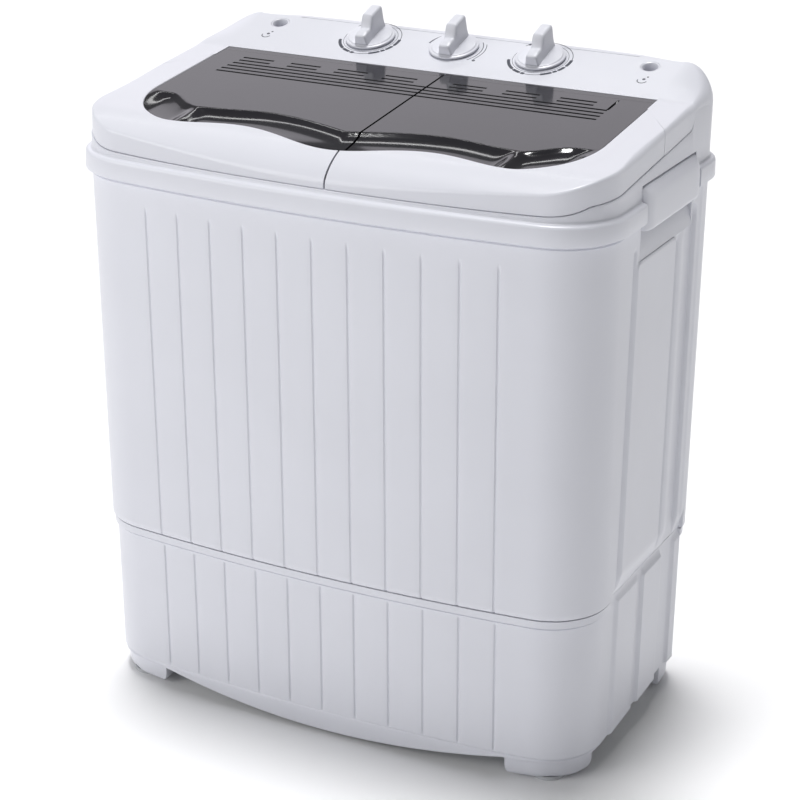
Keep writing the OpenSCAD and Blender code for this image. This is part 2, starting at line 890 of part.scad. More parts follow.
module circulation_duct() {
    back = tub_back_y - tub_t;
    color(cover_white)
    difference() {
        union() {
            translate([duct_x - duct_w / 2, back - duct_d, duct_low_z])
                cube([duct_w, duct_d, duct_top_z - duct_low_z]);
            for (sx = [-1, 1])
                translate([duct_x + sx * (duct_w / 2 - 3) - 3, back - duct_d, duct_top_z - eps])
                    cube([6, duct_d, filter_z1 - duct_top_z + 6]);
        }
        translate([duct_x - duct_w / 2 + 2.5, back - duct_d + 2.5, duct_low_z + 2.5])
            cube([duct_w - 5, duct_d, duct_top_z - duct_low_z - 5]);
        for (k = [0:5])
            translate([duct_x - 30 + 10 * k, back - duct_d - eps, duct_low_z + 10])
                cube([4, 5, 40]);
    }
}

module lint_filter() {
    back = tub_back_y - tub_t;
    w = duct_w - 13;
    color([0.35, 0.55, 0.8])
    difference() {
        union() {
            translate([duct_x - w / 2, back - 7, filter_z0])
                cube([w, 6, filter_z1 - filter_z0]);
            translate([duct_x - 9, back - 11, filter_z1 - 12])
                cube([18, 5, 8]);
        }
        for (j = [0:3], k = [0:3])
            translate([duct_x - w / 2 + 5 + 15 * j, back - 8, filter_z0 + 6 + 16 * k])
                cube([12, 8, 12]);
    }
}

module overflow_grille() {
    back = tub_back_y - tub_t;
    color(cover_white)
    difference() {
        translate([overflow_x - 19, back - 3, overflow_z - 16])
            cube([38, 3, 32]);
        for (k = [0:4])
            translate([overflow_x - 13.5 + 6 * k, back - 4, overflow_z - 11])
                cube([3, 5, 22]);
    }
}

module overflow_pipe() {
    color([0.55, 0.57, 0.6])
    difference() {
        union() {
            translate([overflow_x, overflow_y, overflow_low_z])
                cylinder(r = drain_r, h = overflow_z + 14 - overflow_low_z);
            rod_y(tub_back_y, overflow_y, overflow_x, overflow_z, overflow_r + 2);
        }
        translate([overflow_x, overflow_y, overflow_low_z - eps])
            cylinder(r = drain_r - 2, h = overflow_z + 12 - overflow_low_z);
        rod_y(tub_back_y - eps, overflow_y, overflow_x, overflow_z, overflow_r);
    }
}

// ---------------------------------------------------------------- pulsator drive

shaft_r = 8;
shaft_z0 = 118;
shaft_z1 = 262;
pulley_z0 = 122;
pulley_h = 16;
motor_x = -205;
motor_y = 70;
motor_shaft_r = 5;
pulsator_z = 243;
hub_top_z = 276;
screw_head_z = 268;

module at_wash(z) {
    translate([wash_x, tub_y, z])
        children();
}

module pulsator() {
    color([0.75, 0.83, 0.92])
    difference() {
        union() {
            at_wash(pulsator_z)
                rotate_extrude()
                    polygon([
                        [0, 0], [pulsator_r - 4, 0], [pulsator_r, 3], [pulsator_r - 2, 6],
                        [40, 8], [30, 14], [22, hub_top_z - pulsator_z], [0, hub_top_z - pulsator_z]]);
            for (a = [0:90:270])
                at_wash(pulsator_z + 4)
                    rotate([0, 0, a])
                        side_vane();
        }
        at_wash(pulsator_z - eps)
            cylinder(r = 20, h = 5);
        at_wash(pulsator_z)
            cylinder(r = shaft_r + 0.02, h = shaft_z1 - pulsator_z);
        at_wash(pulsator_z)
            cylinder(r = 3.1, h = far);
        at_wash(screw_head_z)
            cylinder(r = 8, h = far);
    }
}

module side_vane() {
    rotate([90, 0, 0])
        translate([0, 0, -6])
            linear_extrude(12)
                polygon([[24, 0], [pulsator_r - 8, 0], [pulsator_r - 14, 9], [30, 24], [24, 24]]);
}

module pulsator_screw() {
    color(steel)
    difference() {
        union() {
            at_wash(screw_head_z)
                cylinder(r = 7.5, h = 4);
            at_wash(screw_head_z - 18)
                cylinder(r = 3, h = 18);
        }
        at_wash(screw_head_z + 2)
            cylinder(r = 2.5, h = 5, $fn = 6);
    }
}

module pulsator_shaft() {
    color(steel)
    difference() {
        at_wash(shaft_z0)
            cylinder(r = shaft_r, h = shaft_z1 - shaft_z0);
        at_wash(screw_head_z - 18.2)
            cylinder(r = 3.02, h = 30);
    }
}

module shaft_seal() {
    color(rubber)
    at_wash(tub_floor_z + tub_floor_t + 1)
        difference() {
            cylinder(r = 14, h = 3.6);
            translate([0, 0, -eps])
                cylinder(r = shaft_r + 0.3, h = 10);
        }
}

module bearing_housing() {
    color([0.5, 0.52, 0.55])
    difference() {
        union() {
            at_wash(tub_floor_z - 6)
                cylinder(r = 55, h = 6);
            at_wash(tub_floor_z - 1)
                cylinder(r = neck_hole_r - 0.4, h = tub_floor_t + 2);
            at_wash(156)
                cylinder(r = 34, h = tub_floor_z - 161);
        }
        at_wash(100)
            cylinder(r = shaft_r + run, h = far);
    }
}

// A pulley with one V groove
module pulley(r, bore) {
    rotate_extrude()
        polygon([
            [bore, 0], [r, 0], [r, 4], [r - 6, 7], [r - 6, 9], [r, 12], [r, pulley_h], [bore, pulley_h]]);
}

module drive_pulley() {
    color(steel)
    difference() {
        at_wash(pulley_z0)
            pulley(drive_r, shaft_r + 0.02);
        for (a = [0:60:300])
            at_wash(pulley_z0 - eps)
                rotate([0, 0, a])
                    translate([40, 0, 0])
                        cylinder(r = 13, h = 30);
    }
}

module motor_pulley() {
    color(steel)
    translate([motor_x, motor_y, pulley_z0])
        pulley(motor_pulley_r, motor_shaft_r + 0.02);
}

module motor_shaft() {
    color(steel)
    translate([motor_x, motor_y, shaft_z0])
        cylinder(r = motor_shaft_r, h = 44);
}

module belt_loop(grow, z0, h) {
    hull() {
        translate([wash_x, tub_y, z0])
            cylinder(r = drive_r + grow, h = h, $fn = 64);
        translate([motor_x, motor_y, z0])
            cylinder(r = motor_pulley_r + grow, h = h, $fn = 64);
    }
}

module drive_belt() {
    color(rubber)
    difference() {
        belt_loop(-2, pulley_z0 + 6.6, 2.8);
        belt_loop(-5, pulley_z0 + 5, 6);
    }
}

motor_plate_w = 96;
motor_top_z = tub_floor_z - 6;

module motor_bolt_places() {
    for (sx = [-1, 1], sy = [-1, 1])
        translate([motor_x + sx * 41, motor_y + sy * 41, 0])
            children();
}

module wash_motor() {
    color([0.45, 0.47, 0.5])
    difference() {
        union() {
            translate([motor_x, motor_y, 152])
                cylinder(r = 44, h = motor_top_z - 152);
            translate([motor_x, motor_y, 146])
                cylinder(r = 14, h = 7);
            translate([motor_x - motor_plate_w / 2, motor_y - motor_plate_w / 2, motor_top_z - 5])
                cube([motor_plate_w, motor_plate_w, 5]);
            for (a = [0:30:330])
                translate([motor_x, motor_y, 160])
                    rotate([0, 0, a])
                        translate([43, -1.5, 0])
                            cube([4, 3, 50]);
        }
        translate([motor_x, motor_y, 140])
            cylinder(r = motor_shaft_r + run, h = 24);
        motor_bolt_places()
            translate([0, 0, 200])
                cylinder(r = 3.05, h = 60);
    }
}

module motor_bracket() {
    color(steel)
    difference() {
        translate([motor_x - 52, motor_y - 46, motor_top_z])
            cube([104, 98, 6]);
        motor_bolt_places()
            translate([0, 0, 200])
                cylinder(r = 3.05, h = 60);
    }
}

module motor_bolts() {
    color(steel)
    motor_bolt_places() {
        translate([0, 0, motor_top_z - 5])
            cylinder(r = 3, h = 10.5);
        translate([0, 0, motor_top_z - 9])
            cylinder(r = 5.5, h = 4, $fn = 6);
    }
}

module capacitor() {
    color([0.8, 0.8, 0.8])
    translate([-10, 120, floor_z + floor_t]) {
        cylinder(r = 18, h = 66);
        translate([0, 0, 66])
            cylinder(r = 15, h = 5);
        for (sx = [-1, 1])
            translate([sx * 7 - 1, -3, 71])
                cube([2, 6, 8]);
    }
}

// ---------------------------------------------------------------- spin side

spin_floor_z = 226;
spin_floor_t = 4;
spin_hole_r = 34;
basket_z0 = 237;
basket_z1 = 540;
basket_t = 2;
spin_shaft_r = 7;
carrier_z = 160;
carrier_t = 5;
carrier_r = 90;
disc_z = 528;

module spin_tub() {
    color(cover_white)
    at_spin(spin_floor_z)
        difference() {
            union() {
                cylinder(r = spin_tub_r, h = tub_top_z - spin_floor_z + tub_flange_t);
                translate([0, 0, tub_top_z - spin_floor_z])
                    cylinder(r = spin_tub_r + tub_flange, h = tub_flange_t);
            }
            translate([0, 0, spin_floor_t])
                cylinder(r = spin_tub_r - tub_t, h = far);
            translate([0, 0, -eps])
                cylinder(r = spin_hole_r, h = 10);
        }
}

module spin_basket() {
    hole_rows = 5;
    hole_cols = 10;
    h = basket_z1 - basket_z0;
    color(steel)
    at_spin(basket_z0)
        difference() {
            union() {
                difference() {
                    cylinder(r = basket_r, h = h);
                    translate([0, 0, 4])
                        cylinder(r = basket_r - basket_t, h = h);
                }
                cylinder(r = 22, h = 27);
                difference() {
                    translate([0, 0, h - 5])
                        cylinder(r = basket_r + 4, h = 5);
                    translate([0, 0, h - 10])
                        cylinder(r = basket_r - 1, h = 20);
                }
                difference() {
                    translate([0, 0, disc_z - basket_z0 - 3])
                        cylinder(r = basket_r - 1, h = 3);
                    translate([0, 0, disc_z - basket_z0 - 4])
                        cylinder(r = basket_r - 6, h = 5);
                }
            }
            translate([0, 0, -eps])
                cylinder(r = spin_shaft_r + 0.02, h = 26);
            for (k = [1:hole_rows], j = [1:hole_cols])
                rotate([0, 0, (j + (k % 2) / 2) * 360 / hole_cols])
                    rod_x(basket_r - 6, basket_r + 2, 0, 10 + k * 48, 3);
        }
}

module spin_disc() {
    color([0.75, 0.83, 0.92])
    at_spin(disc_z)
        difference() {
            union() {
                cylinder(r = basket_r - basket_t - 1.5, h = 3);
                translate([-22, -4, 2])
                    cube([44, 8, 12]);
            }
            translate([-16, -5, 3])
                cube([32, 10, 7]);
            for (a = [30:60:330])
                rotate([0, 0, a])
                    translate([60, 0, -eps])
                        cylinder(r = 8, h = 6);
        }
}

module spin_shaft() {
    color(steel)
    at_spin(carrier_z - 8)
        cylinder(r = spin_shaft_r, h = basket_z0 + 24.5 - carrier_z + 8);
}

module spin_bearing() {
    color([0.5, 0.52, 0.55])
    at_spin(194)
        difference() {
            cylinder(r = 12, h = 18);
            translate([0, 0, -eps])
                cylinder(r = spin_shaft_r + run, h = 30);
        }
}

module spin_bellows() {
    color(rubber)
    at_spin(194)
        rotate_extrude()
            polygon([
                [12, 0], [15, 0], [15, 10], [20, 14], [19, 18], [25, 20], [24, 24], [spin_hole_r + 6, 28],
                [spin_hole_r + 6, 32], [spin_hole_r - 4, 32], [22, 27], [23, 23], [17, 21], [18, 17], [12, 13]]);
}

module brake_drum() {
    color(steel)
    at_spin(168)
        difference() {
            union() {
                cylinder(r = 14, h = 20);
                translate([0, 0, 14])
                    cylinder(r = drum_r - 1, h = 4);
                difference() {
                    cylinder(r = drum_r, h = 18);
                    translate([0, 0, -eps])
                        cylinder(r = drum_r - 4, h = 20);
                }
            }
            translate([0, 0, -eps])
                cylinder(r = spin_shaft_r + 0.02, h = 40);
        }
}

// Brake lever: pivots behind and left of the drum and presses its pad on the drum's left side
brake_dx = -57;
brake_dy = 60;
brake_gap = 4.3;
brake_pin_r = 3.5;

module brake_lever() {
    color(steel)
    at_spin(172)
        difference() {
            union() {
                translate([brake_dx - 4, -10, 0])
                    cube([8, brake_dy + 10, 8]);
                translate([brake_dx, brake_dy, 0])
                    cylinder(r = 8, h = 8);
                translate([-drum_r - brake_gap - 5, -9, 0])
                    cube([5, 18, 8]);
                translate([brake_dx - 4, -10, 0])
                    cube([6, 8, 14]);
            }
            translate([brake_dx, brake_dy, -eps])
                cylinder(r = brake_pin_r + run, h = 20);
        }
}

module brake_pivot_pin() {
    translate([brake_dx, brake_dy, -eps])
        cylinder(r = brake_pin_r, h = 18 + eps);
    translate([brake_dx, brake_dy, -eps])
        cylinder(r = 7, h = 6 + eps);
    translate([brake_dx, brake_dy, 16])
        cylinder(r = 6, h = 2);
}

module spin_motor() {
    color([0.45, 0.47, 0.5])
    difference() {
        union() {
            at_spin(66)
                cylinder(r = 52, h = carrier_z - 66);
            for (a = [0:30:330])
                at_spin(76)
                    rotate([0, 0, a])
                        translate([51, -1.5, 0])
                            cube([4, 3, 70]);
        }
        at_spin(carrier_z - 8.5)
            cylinder(r = spin_shaft_r + run, h = 20);
    }
}

module motor_carrier() {
    color(steel)
    difference() {
        union() {
            at_spin(carrier_z)
                cylinder(r = carrier_r, h = carrier_t);
            at_spin(carrier_z - 4)
                post_ring()
                    cylinder(r = spring_r - 4, h = 5);
            at_spin(carrier_z + carrier_t)
                brake_pivot_pin();
        }
        at_spin(carrier_z - eps)
            cylinder(r = 11, h = 10);
    }
}

// Coil springs as swept tubes
spring_turns = 5;
spring_steps = 10;
spring_sides = 6;
wire_r = 1.3;
spring_z0 = seat_z + wire_r;
spring_z1 = carrier_z - wire_r;

function coil_point(i, j) =
    let (a = 360 * i / spring_steps, b = 360 * j / spring_sides, r = spring_r - wire_r + wire_r * cos(b),
         z = spring_z0 + (spring_z1 - spring_z0) * i / (spring_turns * spring_steps) + wire_r * sin(b))
    [r * cos(a), r * sin(a), z];

module coil_spring() {
    n = spring_turns * spring_steps;
    m = spring_sides;
    polyhedron(
        points = [for (i = [0:n], j = [0:m - 1]) coil_point(i, j)],
        faces = concat(
            [[for (j = [0:m - 1]) j]],
            [for (i = [0:n - 1], j = [0:m - 1]) [i * m + j, (i + 1) * m + j, (i + 1) * m + (j + 1) % m]],
            [for (i = [0:n - 1], j = [0:m - 1]) [i * m + j, (i + 1) * m + (j + 1) % m, i * m + (j + 1) % m]],
            [[for (j = [m - 1:-1:0]) n * m + j]]));
}

module suspension_springs() {
    color(steel)
    at_spin(0)
        post_ring()
            coil_spring();
}

// ---------------------------------------------------------------- drain

valve_z0 = 176;
valve_r = 22;
valve_bore_r = 18;
stem_r = 4;
plunger_r = 16;

module drain_valve_body() {
    color([0.55, 0.57, 0.6])
    difference() {
        union() {
            translate([valve_x, valve_y, valve_z0])
                cylinder(r = valve_r, h = tub_floor_z - valve_z0);
            rod_y(valve_y, valve_y + valve_r + 10, drain_x, drain_pipe_z, drain_r + 2);
        }
        translate([valve_x, valve_y, valve_z0 + 5])
            cylinder(r = valve_bore_r, h = far);
        translate([valve_x, valve_y, valve_z0 - eps])
            cylinder(r = stem_r + run, h = 20);
        rod_y(valve_y, valve_y + 60, drain_x, drain_pipe_z, drain_r - 2);
    }
}

module drain_plunger() {
    color([0.85, 0.4, 0.3])
    translate([valve_x, valve_y, 0]) {
        translate([0, 0, tub_floor_z - 9])
            cylinder(r = plunger_r, h = 8);
        translate([0, 0, valve_z0 - 14])
            cylinder(r = stem_r, h = tub_floor_z - valve_z0 + 6);
    }
}

module drain_outlet() {
    color([0.55, 0.57, 0.6])
    difference() {
        union() {
            rod_y(valve_y + valve_r + 10, half_d + 6.5, drain_x, drain_pipe_z, drain_r);
            rod_y(half_d, half_d + 2.4, drain_x, drain_pipe_z, drain_r + 6);
            translate([overflow_x, overflow_y, drain_pipe_z])
                cylinder(r = drain_r, h = overflow_low_z - drain_pipe_z);
        }
        rod_y(valve_y, half_d + 20, drain_x, drain_pipe_z, drain_r - 2);
        translate([overflow_x, overflow_y, drain_pipe_z])
            cylinder(r = drain_r - 2, h = 40);
    }
}

base_chassis();
foot_pads();
cord_gland();
cabinet_shell();
rear_panel();
rear_panel_screws();
top_cover();
tub_deck();
control_fascia();
center_hinge_bracket();
carry_handle_left();
carry_handle_right();
wash_lid_frame();
wash_lid_window();
wash_lid_pins();
spin_lid_frame();
spin_lid_window();
spin_lid_pins();
wash_timer();
wash_timer_spindle();
wash_timer_knob();
drain_selector();
selector_spindle();
selector_knob();
spin_timer();
spin_timer_spindle();
spin_timer_knob();
inlet_ports();
wash_tub();
circulation_duct();
lint_filter();
overflow_grille();
overflow_pipe();
pulsator();
pulsator_screw();
pulsator_shaft();
shaft_seal();
bearing_housing();
drive_pulley();
drive_belt();
motor_pulley();
motor_shaft();
wash_motor();
motor_bracket();
motor_bolts();
capacitor();
spin_tub();
spin_basket();
spin_disc();
spin_shaft();
spin_bearing();
spin_bellows();
brake_drum();
brake_lever();
spin_motor();
motor_carrier();
suspension_springs();
drain_valve_body();
drain_plunger();
drain_outlet();
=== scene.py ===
"""Twin tub washer: the visible shells, lids, controls and materials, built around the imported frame."""

import json
import math

import bmesh
import bpy
from mathutils import Matrix, Vector
from mathutils.geometry import tessellate_polygon


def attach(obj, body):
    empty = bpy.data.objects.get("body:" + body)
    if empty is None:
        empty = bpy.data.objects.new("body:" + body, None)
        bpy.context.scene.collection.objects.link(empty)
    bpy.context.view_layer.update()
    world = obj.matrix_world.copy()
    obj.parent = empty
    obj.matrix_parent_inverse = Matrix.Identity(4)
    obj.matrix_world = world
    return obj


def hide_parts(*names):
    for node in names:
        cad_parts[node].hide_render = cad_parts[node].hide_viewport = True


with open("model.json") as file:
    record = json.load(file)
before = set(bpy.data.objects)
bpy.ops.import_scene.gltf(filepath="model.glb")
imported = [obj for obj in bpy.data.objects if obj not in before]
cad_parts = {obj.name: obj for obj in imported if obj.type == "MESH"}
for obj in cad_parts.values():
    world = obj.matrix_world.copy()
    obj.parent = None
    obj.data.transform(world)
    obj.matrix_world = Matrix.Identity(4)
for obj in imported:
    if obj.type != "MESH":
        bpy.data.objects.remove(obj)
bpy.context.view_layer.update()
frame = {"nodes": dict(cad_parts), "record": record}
NODES = frame["nodes"]
MM = 0.001

# ---------------------------------------------------------------- camera, floor and lights

CAMERA_AT = Vector((0.9854, -1.9574, 1.1783))
CAMERA_AZIMUTH = math.radians(26.47)
CAMERA_ELEVATION = math.radians(21.13)
CAMERA_ROLL = math.radians(0.92)
CAMERA_LENS = 98.87


def add_camera():
    back = Vector((
        math.sin(CAMERA_AZIMUTH) * math.cos(CAMERA_ELEVATION),
        -math.cos(CAMERA_AZIMUTH) * math.cos(CAMERA_ELEVATION),
        math.sin(CAMERA_ELEVATION)))
    right = (-back).cross(Vector((0, 0, 1))).normalized()
    up = right.cross(-back)
    cosine, sine = math.cos(CAMERA_ROLL), math.sin(CAMERA_ROLL)
    x_axis = right * cosine + up * sine
    y_axis = up * cosine - right * sine
    turn = Matrix((x_axis, y_axis, back)).transposed().to_4x4()
    data = bpy.data.cameras.new("camera")
    data.lens = CAMERA_LENS
    data.sensor_width = 36
    data.clip_end = 50
    camera = bpy.data.objects.new("camera", data)
    camera.matrix_world = Matrix.Translation(CAMERA_AT) @ turn
    bpy.context.scene.collection.objects.link(camera)
    bpy.context.scene.camera = camera


def add_light(name, at, target, size, radiance, colour=(1, 1, 1)):
    """A soft rectangular panel, given by how bright its face is."""
    data = bpy.data.lights.new(name, "AREA")
    data.shape = "RECTANGLE"
    data.size, data.size_y = size
    data.energy = radiance * math.pi * size[0] * size[1]
    data.color = colour
    light = bpy.data.objects.new(name, data)
    light.location = at
    light.rotation_euler = (Vector(target) - Vector(at)).to_track_quat("-Z", "Y").to_euler()
    light.visible_camera = False
    bpy.context.scene.collection.objects.link(light)


def add_overhead(strength, angle):
    data = bpy.data.lights.new("overhead", "SUN")
    data.energy = strength * math.pi
    data.angle = math.radians(angle)
    light = bpy.data.objects.new("overhead", data)
    light.rotation_euler = (math.radians(-4), math.radians(-5), 0)
    bpy.context.scene.collection.objects.link(light)


def add_world(strength):
    world = bpy.data.worlds.new("studio")
    world.use_nodes = True
    background = world.node_tree.nodes["Background"]
    background.inputs["Color"].default_value = (0.97, 0.98, 1.0, 1)
    background.inputs["Strength"].default_value = strength
    bpy.context.scene.world = world


add_camera()
bpy.context.scene.view_settings.view_transform = "Standard"

# ---------------------------------------------------------------- materials


def new_material(name):
    material = bpy.data.materials.new(name)
    material.use_nodes = True
    tree = material.node_tree
    return material, tree, tree.nodes["Principled BSDF"]


def link_noise(tree, scale, detail, roughness=0.55):
    place = tree.nodes.new("ShaderNodeTexCoord")
    noise = tree.nodes.new("ShaderNodeTexNoise")
    noise.inputs["Scale"].default_value = scale
    noise.inputs["Detail"].default_value = detail
    noise.inputs["Roughness"].default_value = roughness
    tree.links.new(place.outputs["Object"], noise.inputs["Vector"])
    return noise


def link_ramp(tree, source, low, high, start=0.35, end=0.65):
    ramp = tree.nodes.new("ShaderNodeValToRGB")
    ramp.color_ramp.elements[0].position = start
    ramp.color_ramp.elements[1].position = end
    ramp.color_ramp.elements[0].color = (*low, 1)
    ramp.color_ramp.elements[1].color = (*high, 1)
    tree.links.new(source, ramp.inputs["Fac"])
    return ramp.outputs["Color"]


def link_range(tree, source, low, high):
    span = tree.nodes.new("ShaderNodeMapRange")
    span.inputs["To Min"].default_value = low
    span.inputs["To Max"].default_value = high
    tree.links.new(source, span.inputs["Value"])
    return span.outputs["Result"]


def link_bump(tree, shader, height, strength, distance):
    bump = tree.nodes.new("ShaderNodeBump")
    bump.inputs["Strength"].default_value = strength
    bump.inputs["Distance"].default_value = distance
    tree.links.new(height, bump.inputs["Height"])
    tree.links.new(bump.outputs["Normal"], shader.inputs["Normal"])


def shade(colour, factor):
    return tuple(min(1.0, c * factor) for c in colour)


DRIFT_SCALE, PATCH_SCALE, BRUSH_SCALE = 7, 38, 60
SKIN_DEPTH, BRUSH_DEPTH = 0.0004, 0.0003


def surface(name, colour, rough, vary=0.03, grain=900, bump=0.06, metal=0.0, coat=0.0, coat_rough=0.08,
            spread=0.04):
    """A moulded, painted or metal surface: slow colour drift, uneven gloss and a fine skin texture."""
    material, tree, shader = new_material(name)
    shader.inputs["Metallic"].default_value = metal
    shader.inputs["Coat Weight"].default_value = coat
    shader.inputs["Coat Roughness"].default_value = coat_rough
    slow = link_noise(tree, DRIFT_SCALE, 3)
    tint = link_ramp(tree, slow.outputs["Fac"], shade(colour, 1 - vary), shade(colour, 1 + vary))
    tree.links.new(tint, shader.inputs["Base Color"])
    patch = link_noise(tree, PATCH_SCALE, 4)
    gloss = link_range(tree, patch.outputs["Fac"], rough - spread, rough + spread)
    tree.links.new(gloss, shader.inputs["Roughness"])
    fine = link_noise(tree, grain, 2)
    link_bump(tree, shader, fine.outputs["Fac"], bump, SKIN_DEPTH)
    return material


def brushed(name, colour, rough, stretch):
    """Metal with fine lines drawn along one axis."""
    material, tree, shader = new_material(name)
    shader.inputs["Metallic"].default_value = 1.0
    place = tree.nodes.new("ShaderNodeTexCoord")
    mapping = tree.nodes.new("ShaderNodeMapping")
    mapping.inputs["Scale"].default_value = stretch
    noise = tree.nodes.new("ShaderNodeTexNoise")
    noise.inputs["Scale"].default_value = BRUSH_SCALE
    noise.inputs["Detail"].default_value = 4
    tree.links.new(place.outputs["Object"], mapping.inputs["Vector"])
    tree.links.new(mapping.outputs["Vector"], noise.inputs["Vector"])
    tint = link_ramp(tree, noise.outputs["Fac"], shade(colour, 0.86), shade(colour, 1.1), 0.3, 0.7)
    tree.links.new(tint, shader.inputs["Base Color"])
    gloss = link_range(tree, noise.outputs["Fac"], rough - 0.06, rough + 0.1)
    tree.links.new(gloss, shader.inputs["Roughness"])
    link_bump(tree, shader, noise.outputs["Fac"], 0.12, BRUSH_DEPTH)
    return material


WHITE = surface("white_gloss", (0.72, 0.727, 0.785), 0.34, vary=0.012, bump=0.03, coat=0.06)
WHITE_INNER = surface("white_satin", (0.76, 0.78, 0.80), 0.42, vary=0.02, bump=0.05)
SMOKE = surface("smoked_gloss", (0.018, 0.017, 0.021), 0.10, vary=0.15, bump=0.01, coat=0.0, spread=0.02)
# Near-black, matte material for the faces inside the louvre slots: painted shade in the recesses.
SMOKE_SLOT_SHADE = surface("smoked_slot_painted_shade", (0.004, 0.004, 0.005), 0.8, vary=0.2, bump=0.05)
PRINT = surface("dial_print", (0.055, 0.06, 0.085), 0.5, vary=0.1, bump=0.1)
RUBBER = surface("rubber_black", (0.035, 0.035, 0.038), 0.75, vary=0.2, grain=500, bump=0.3)
STEEL = brushed("zinc_steel", (0.62, 0.63, 0.65), 0.3, (1, 1, 12))
BASKET = brushed("basket_steel", (0.74, 0.75, 0.77), 0.2, (1, 1, 30))
BLUE = surface("blue_satin", (0.30, 0.46, 0.66), 0.35, vary=0.05, bump=0.06)
GREY = surface("grey_pipe", (0.23, 0.24, 0.26), 0.55, vary=0.06, bump=0.15)
RED = surface("red_satin", (0.52, 0.10, 0.06), 0.4, vary=0.05)
IVORY = surface("ivory_timer", (0.58, 0.56, 0.47), 0.5, vary=0.04, bump=0.12)
PAINT = surface("motor_black", (0.045, 0.048, 0.052), 0.42, vary=0.12, grain=700, bump=0.2)
CAST = surface("cast_alloy", (0.52, 0.53, 0.55), 0.48, vary=0.08, grain=420, bump=0.4, metal=1.0)

SLOT_MATERIALS = {
    "white_plastic": WHITE, "smoked_window": SMOKE, "steel": STEEL, "polished_steel": BASKET,
    "rubber": RUBBER, "timer_plastic": IVORY, "blue_plastic": BLUE, "grey_plastic": GREY,
    "red_plastic": RED, "motor_paint": PAINT, "cast_aluminium": CAST}

for part in frame["record"]["subparts"]:
    node = NODES[part["node"]]
    node.data.materials.clear()
    node.data.materials.append(SLOT_MATERIALS[part["material_slot"]])

PALE_RUBBER = surface("rubber_pale", (0.55, 0.56, 0.58), 0.7, vary=0.04, grain=500, bump=0.2)
NODES["foot_pads"].data.materials[0] = PALE_RUBBER

# ---------------------------------------------------------------- mesh helpers


def clamp(v, low=0.0, high=1.0):
    return max(low, min(high, v))


def lerp(a, b, t):
    return a + (b - a) * t


def smooth(start, end, v):
    t = clamp((v - start) / (end - start))
    return t * t * (3 - 2 * t)


def band(v, low, high, edge):
    """1 between low and high, falling to 0 over edge inside each end."""
    return smooth(low, low + edge, v) * (1 - smooth(high - edge, high, v))


def steps(start, end, count):
    return [lerp(start, end, i / count) for i in range(count + 1)]


def finish_mesh(name, verts, faces, body, material, sharp=38, extra=None, face_material=None):
    """Makes an object from points in millimetres, with smooth faces and hard edges above an angle."""
    mesh = bpy.data.meshes.new(name)
    mesh.from_pydata([(x * MM, y * MM, z * MM) for x, y, z in verts], [], faces)
    mesh.materials.append(material)
    for other in extra or []:
        mesh.materials.append(other)
    if face_material:
        for polygon in mesh.polygons:
            polygon.material_index = face_material(polygon.center / MM)
    work = bmesh.new()
    work.from_mesh(mesh)
    bmesh.ops.remove_doubles(work, verts=work.verts, dist=0.00002)
    bmesh.ops.dissolve_degenerate(work, dist=0.00001, edges=work.edges)
    bmesh.ops.recalc_face_normals(work, faces=work.faces)
    limit = math.radians(sharp)
    for face in work.faces:
        face.smooth = True
    for edge in work.edges:
        if len(edge.link_faces) == 2 and edge.calc_face_angle(0) > limit:
            edge.smooth = False
    work.to_mesh(mesh)
    work.free()
    piece = bpy.data.objects.new(name, mesh)
    bpy.context.scene.collection.objects.link(piece)
    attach(piece, body)
    return piece


def sweep(columns, closed):
    """Faces over a list of columns, each a closed profile of the same number of points."""
    n, m = len(columns), len(columns[0])
    verts = [p for column in columns for p in column]
    faces = []
    for i in range(n if closed else n - 1):
        k = (i + 1) % n
        for j in range(m):
            q = (j + 1) % m
            faces.append((i * m + j, k * m + j, k * m + q, i * m + q))
    if not closed:
        faces.append(tuple(range(m)))
        faces.append(tuple((n - 1) * m + j for j in reversed(range(m))))
    return verts, faces


def merge(parts):
    """Joins several (verts, faces) lists."""
    verts, faces = [], []
    for some_verts, some_faces in parts:
        base = len(verts)
        verts += some_verts
        faces += [tuple(base + i for i in face) for face in some_faces]
    return verts, faces


def lathe(profile, centre, count=72):
    """Turns (radius, z) points about a vertical axis; a radius of 0 closes an end."""
    cx, cy, cz = centre
    columns = []
    for i in range(count):
        a = math.tau * i / count
        columns.append([(cx + r * math.cos(a), cy + r * math.sin(a), cz + z) for r, z in profile])
    return sweep(columns, True)


def round_corners(points, rounds):
    """Cuts the corners of a closed outline, a few times over."""
    for _ in range(rounds):
        cut = []
        for i, p in enumerate(points):
            q = points[(i + 1) % len(points)]
            cut.append(tuple(lerp(a, b, 0.25) for a, b in zip(p, q)))
            cut.append(tuple(lerp(a, b, 0.75) for a, b in zip(p, q)))
        points = cut
    return points


def ease(points, rounds):
    """Rounds an open line and keeps its two ends."""
    for _ in range(rounds):
        cut = [points[0]]
        for p, q in zip(points, points[1:]):
            cut.append(tuple(lerp(a, b, 0.25) for a, b in zip(p, q)))
            cut.append(tuple(lerp(a, b, 0.75) for a, b in zip(p, q)))
        points = cut + [points[-1]]
    return points


def grid_solid(rows, depth):
    """A closed plate from rows of top points; the underside lies depth below."""
    n, m = len(rows), len(rows[0])
    top = [p for row in rows for p in row]
    verts = top + [(x, y, z - depth) for x, y, z in top]
    size = n * m
    faces = []
    for i in range(n - 1):
        for j in range(m - 1):
            a, b, c, d = i * m + j, i * m + j + 1, (i + 1) * m + j + 1, (i + 1) * m + j
            faces.append((a, b, c, d))
            faces.append((size + d, size + c, size + b, size + a))
    for j in range(m - 1):
        faces.append((j, size + j, size + j + 1, j + 1))
        last = (n - 1) * m + j
        faces.append((last + 1, size + last + 1, size + last, last))
    for i in range(n - 1):
        faces.append(((i + 1) * m, size + (i + 1) * m, size + i * m, i * m))
        last = i * m + m - 1
        faces.append((last, size + last, size + last + m, last + m))
    return verts, faces


# ---------------------------------------------------------------- outline of the cabinet

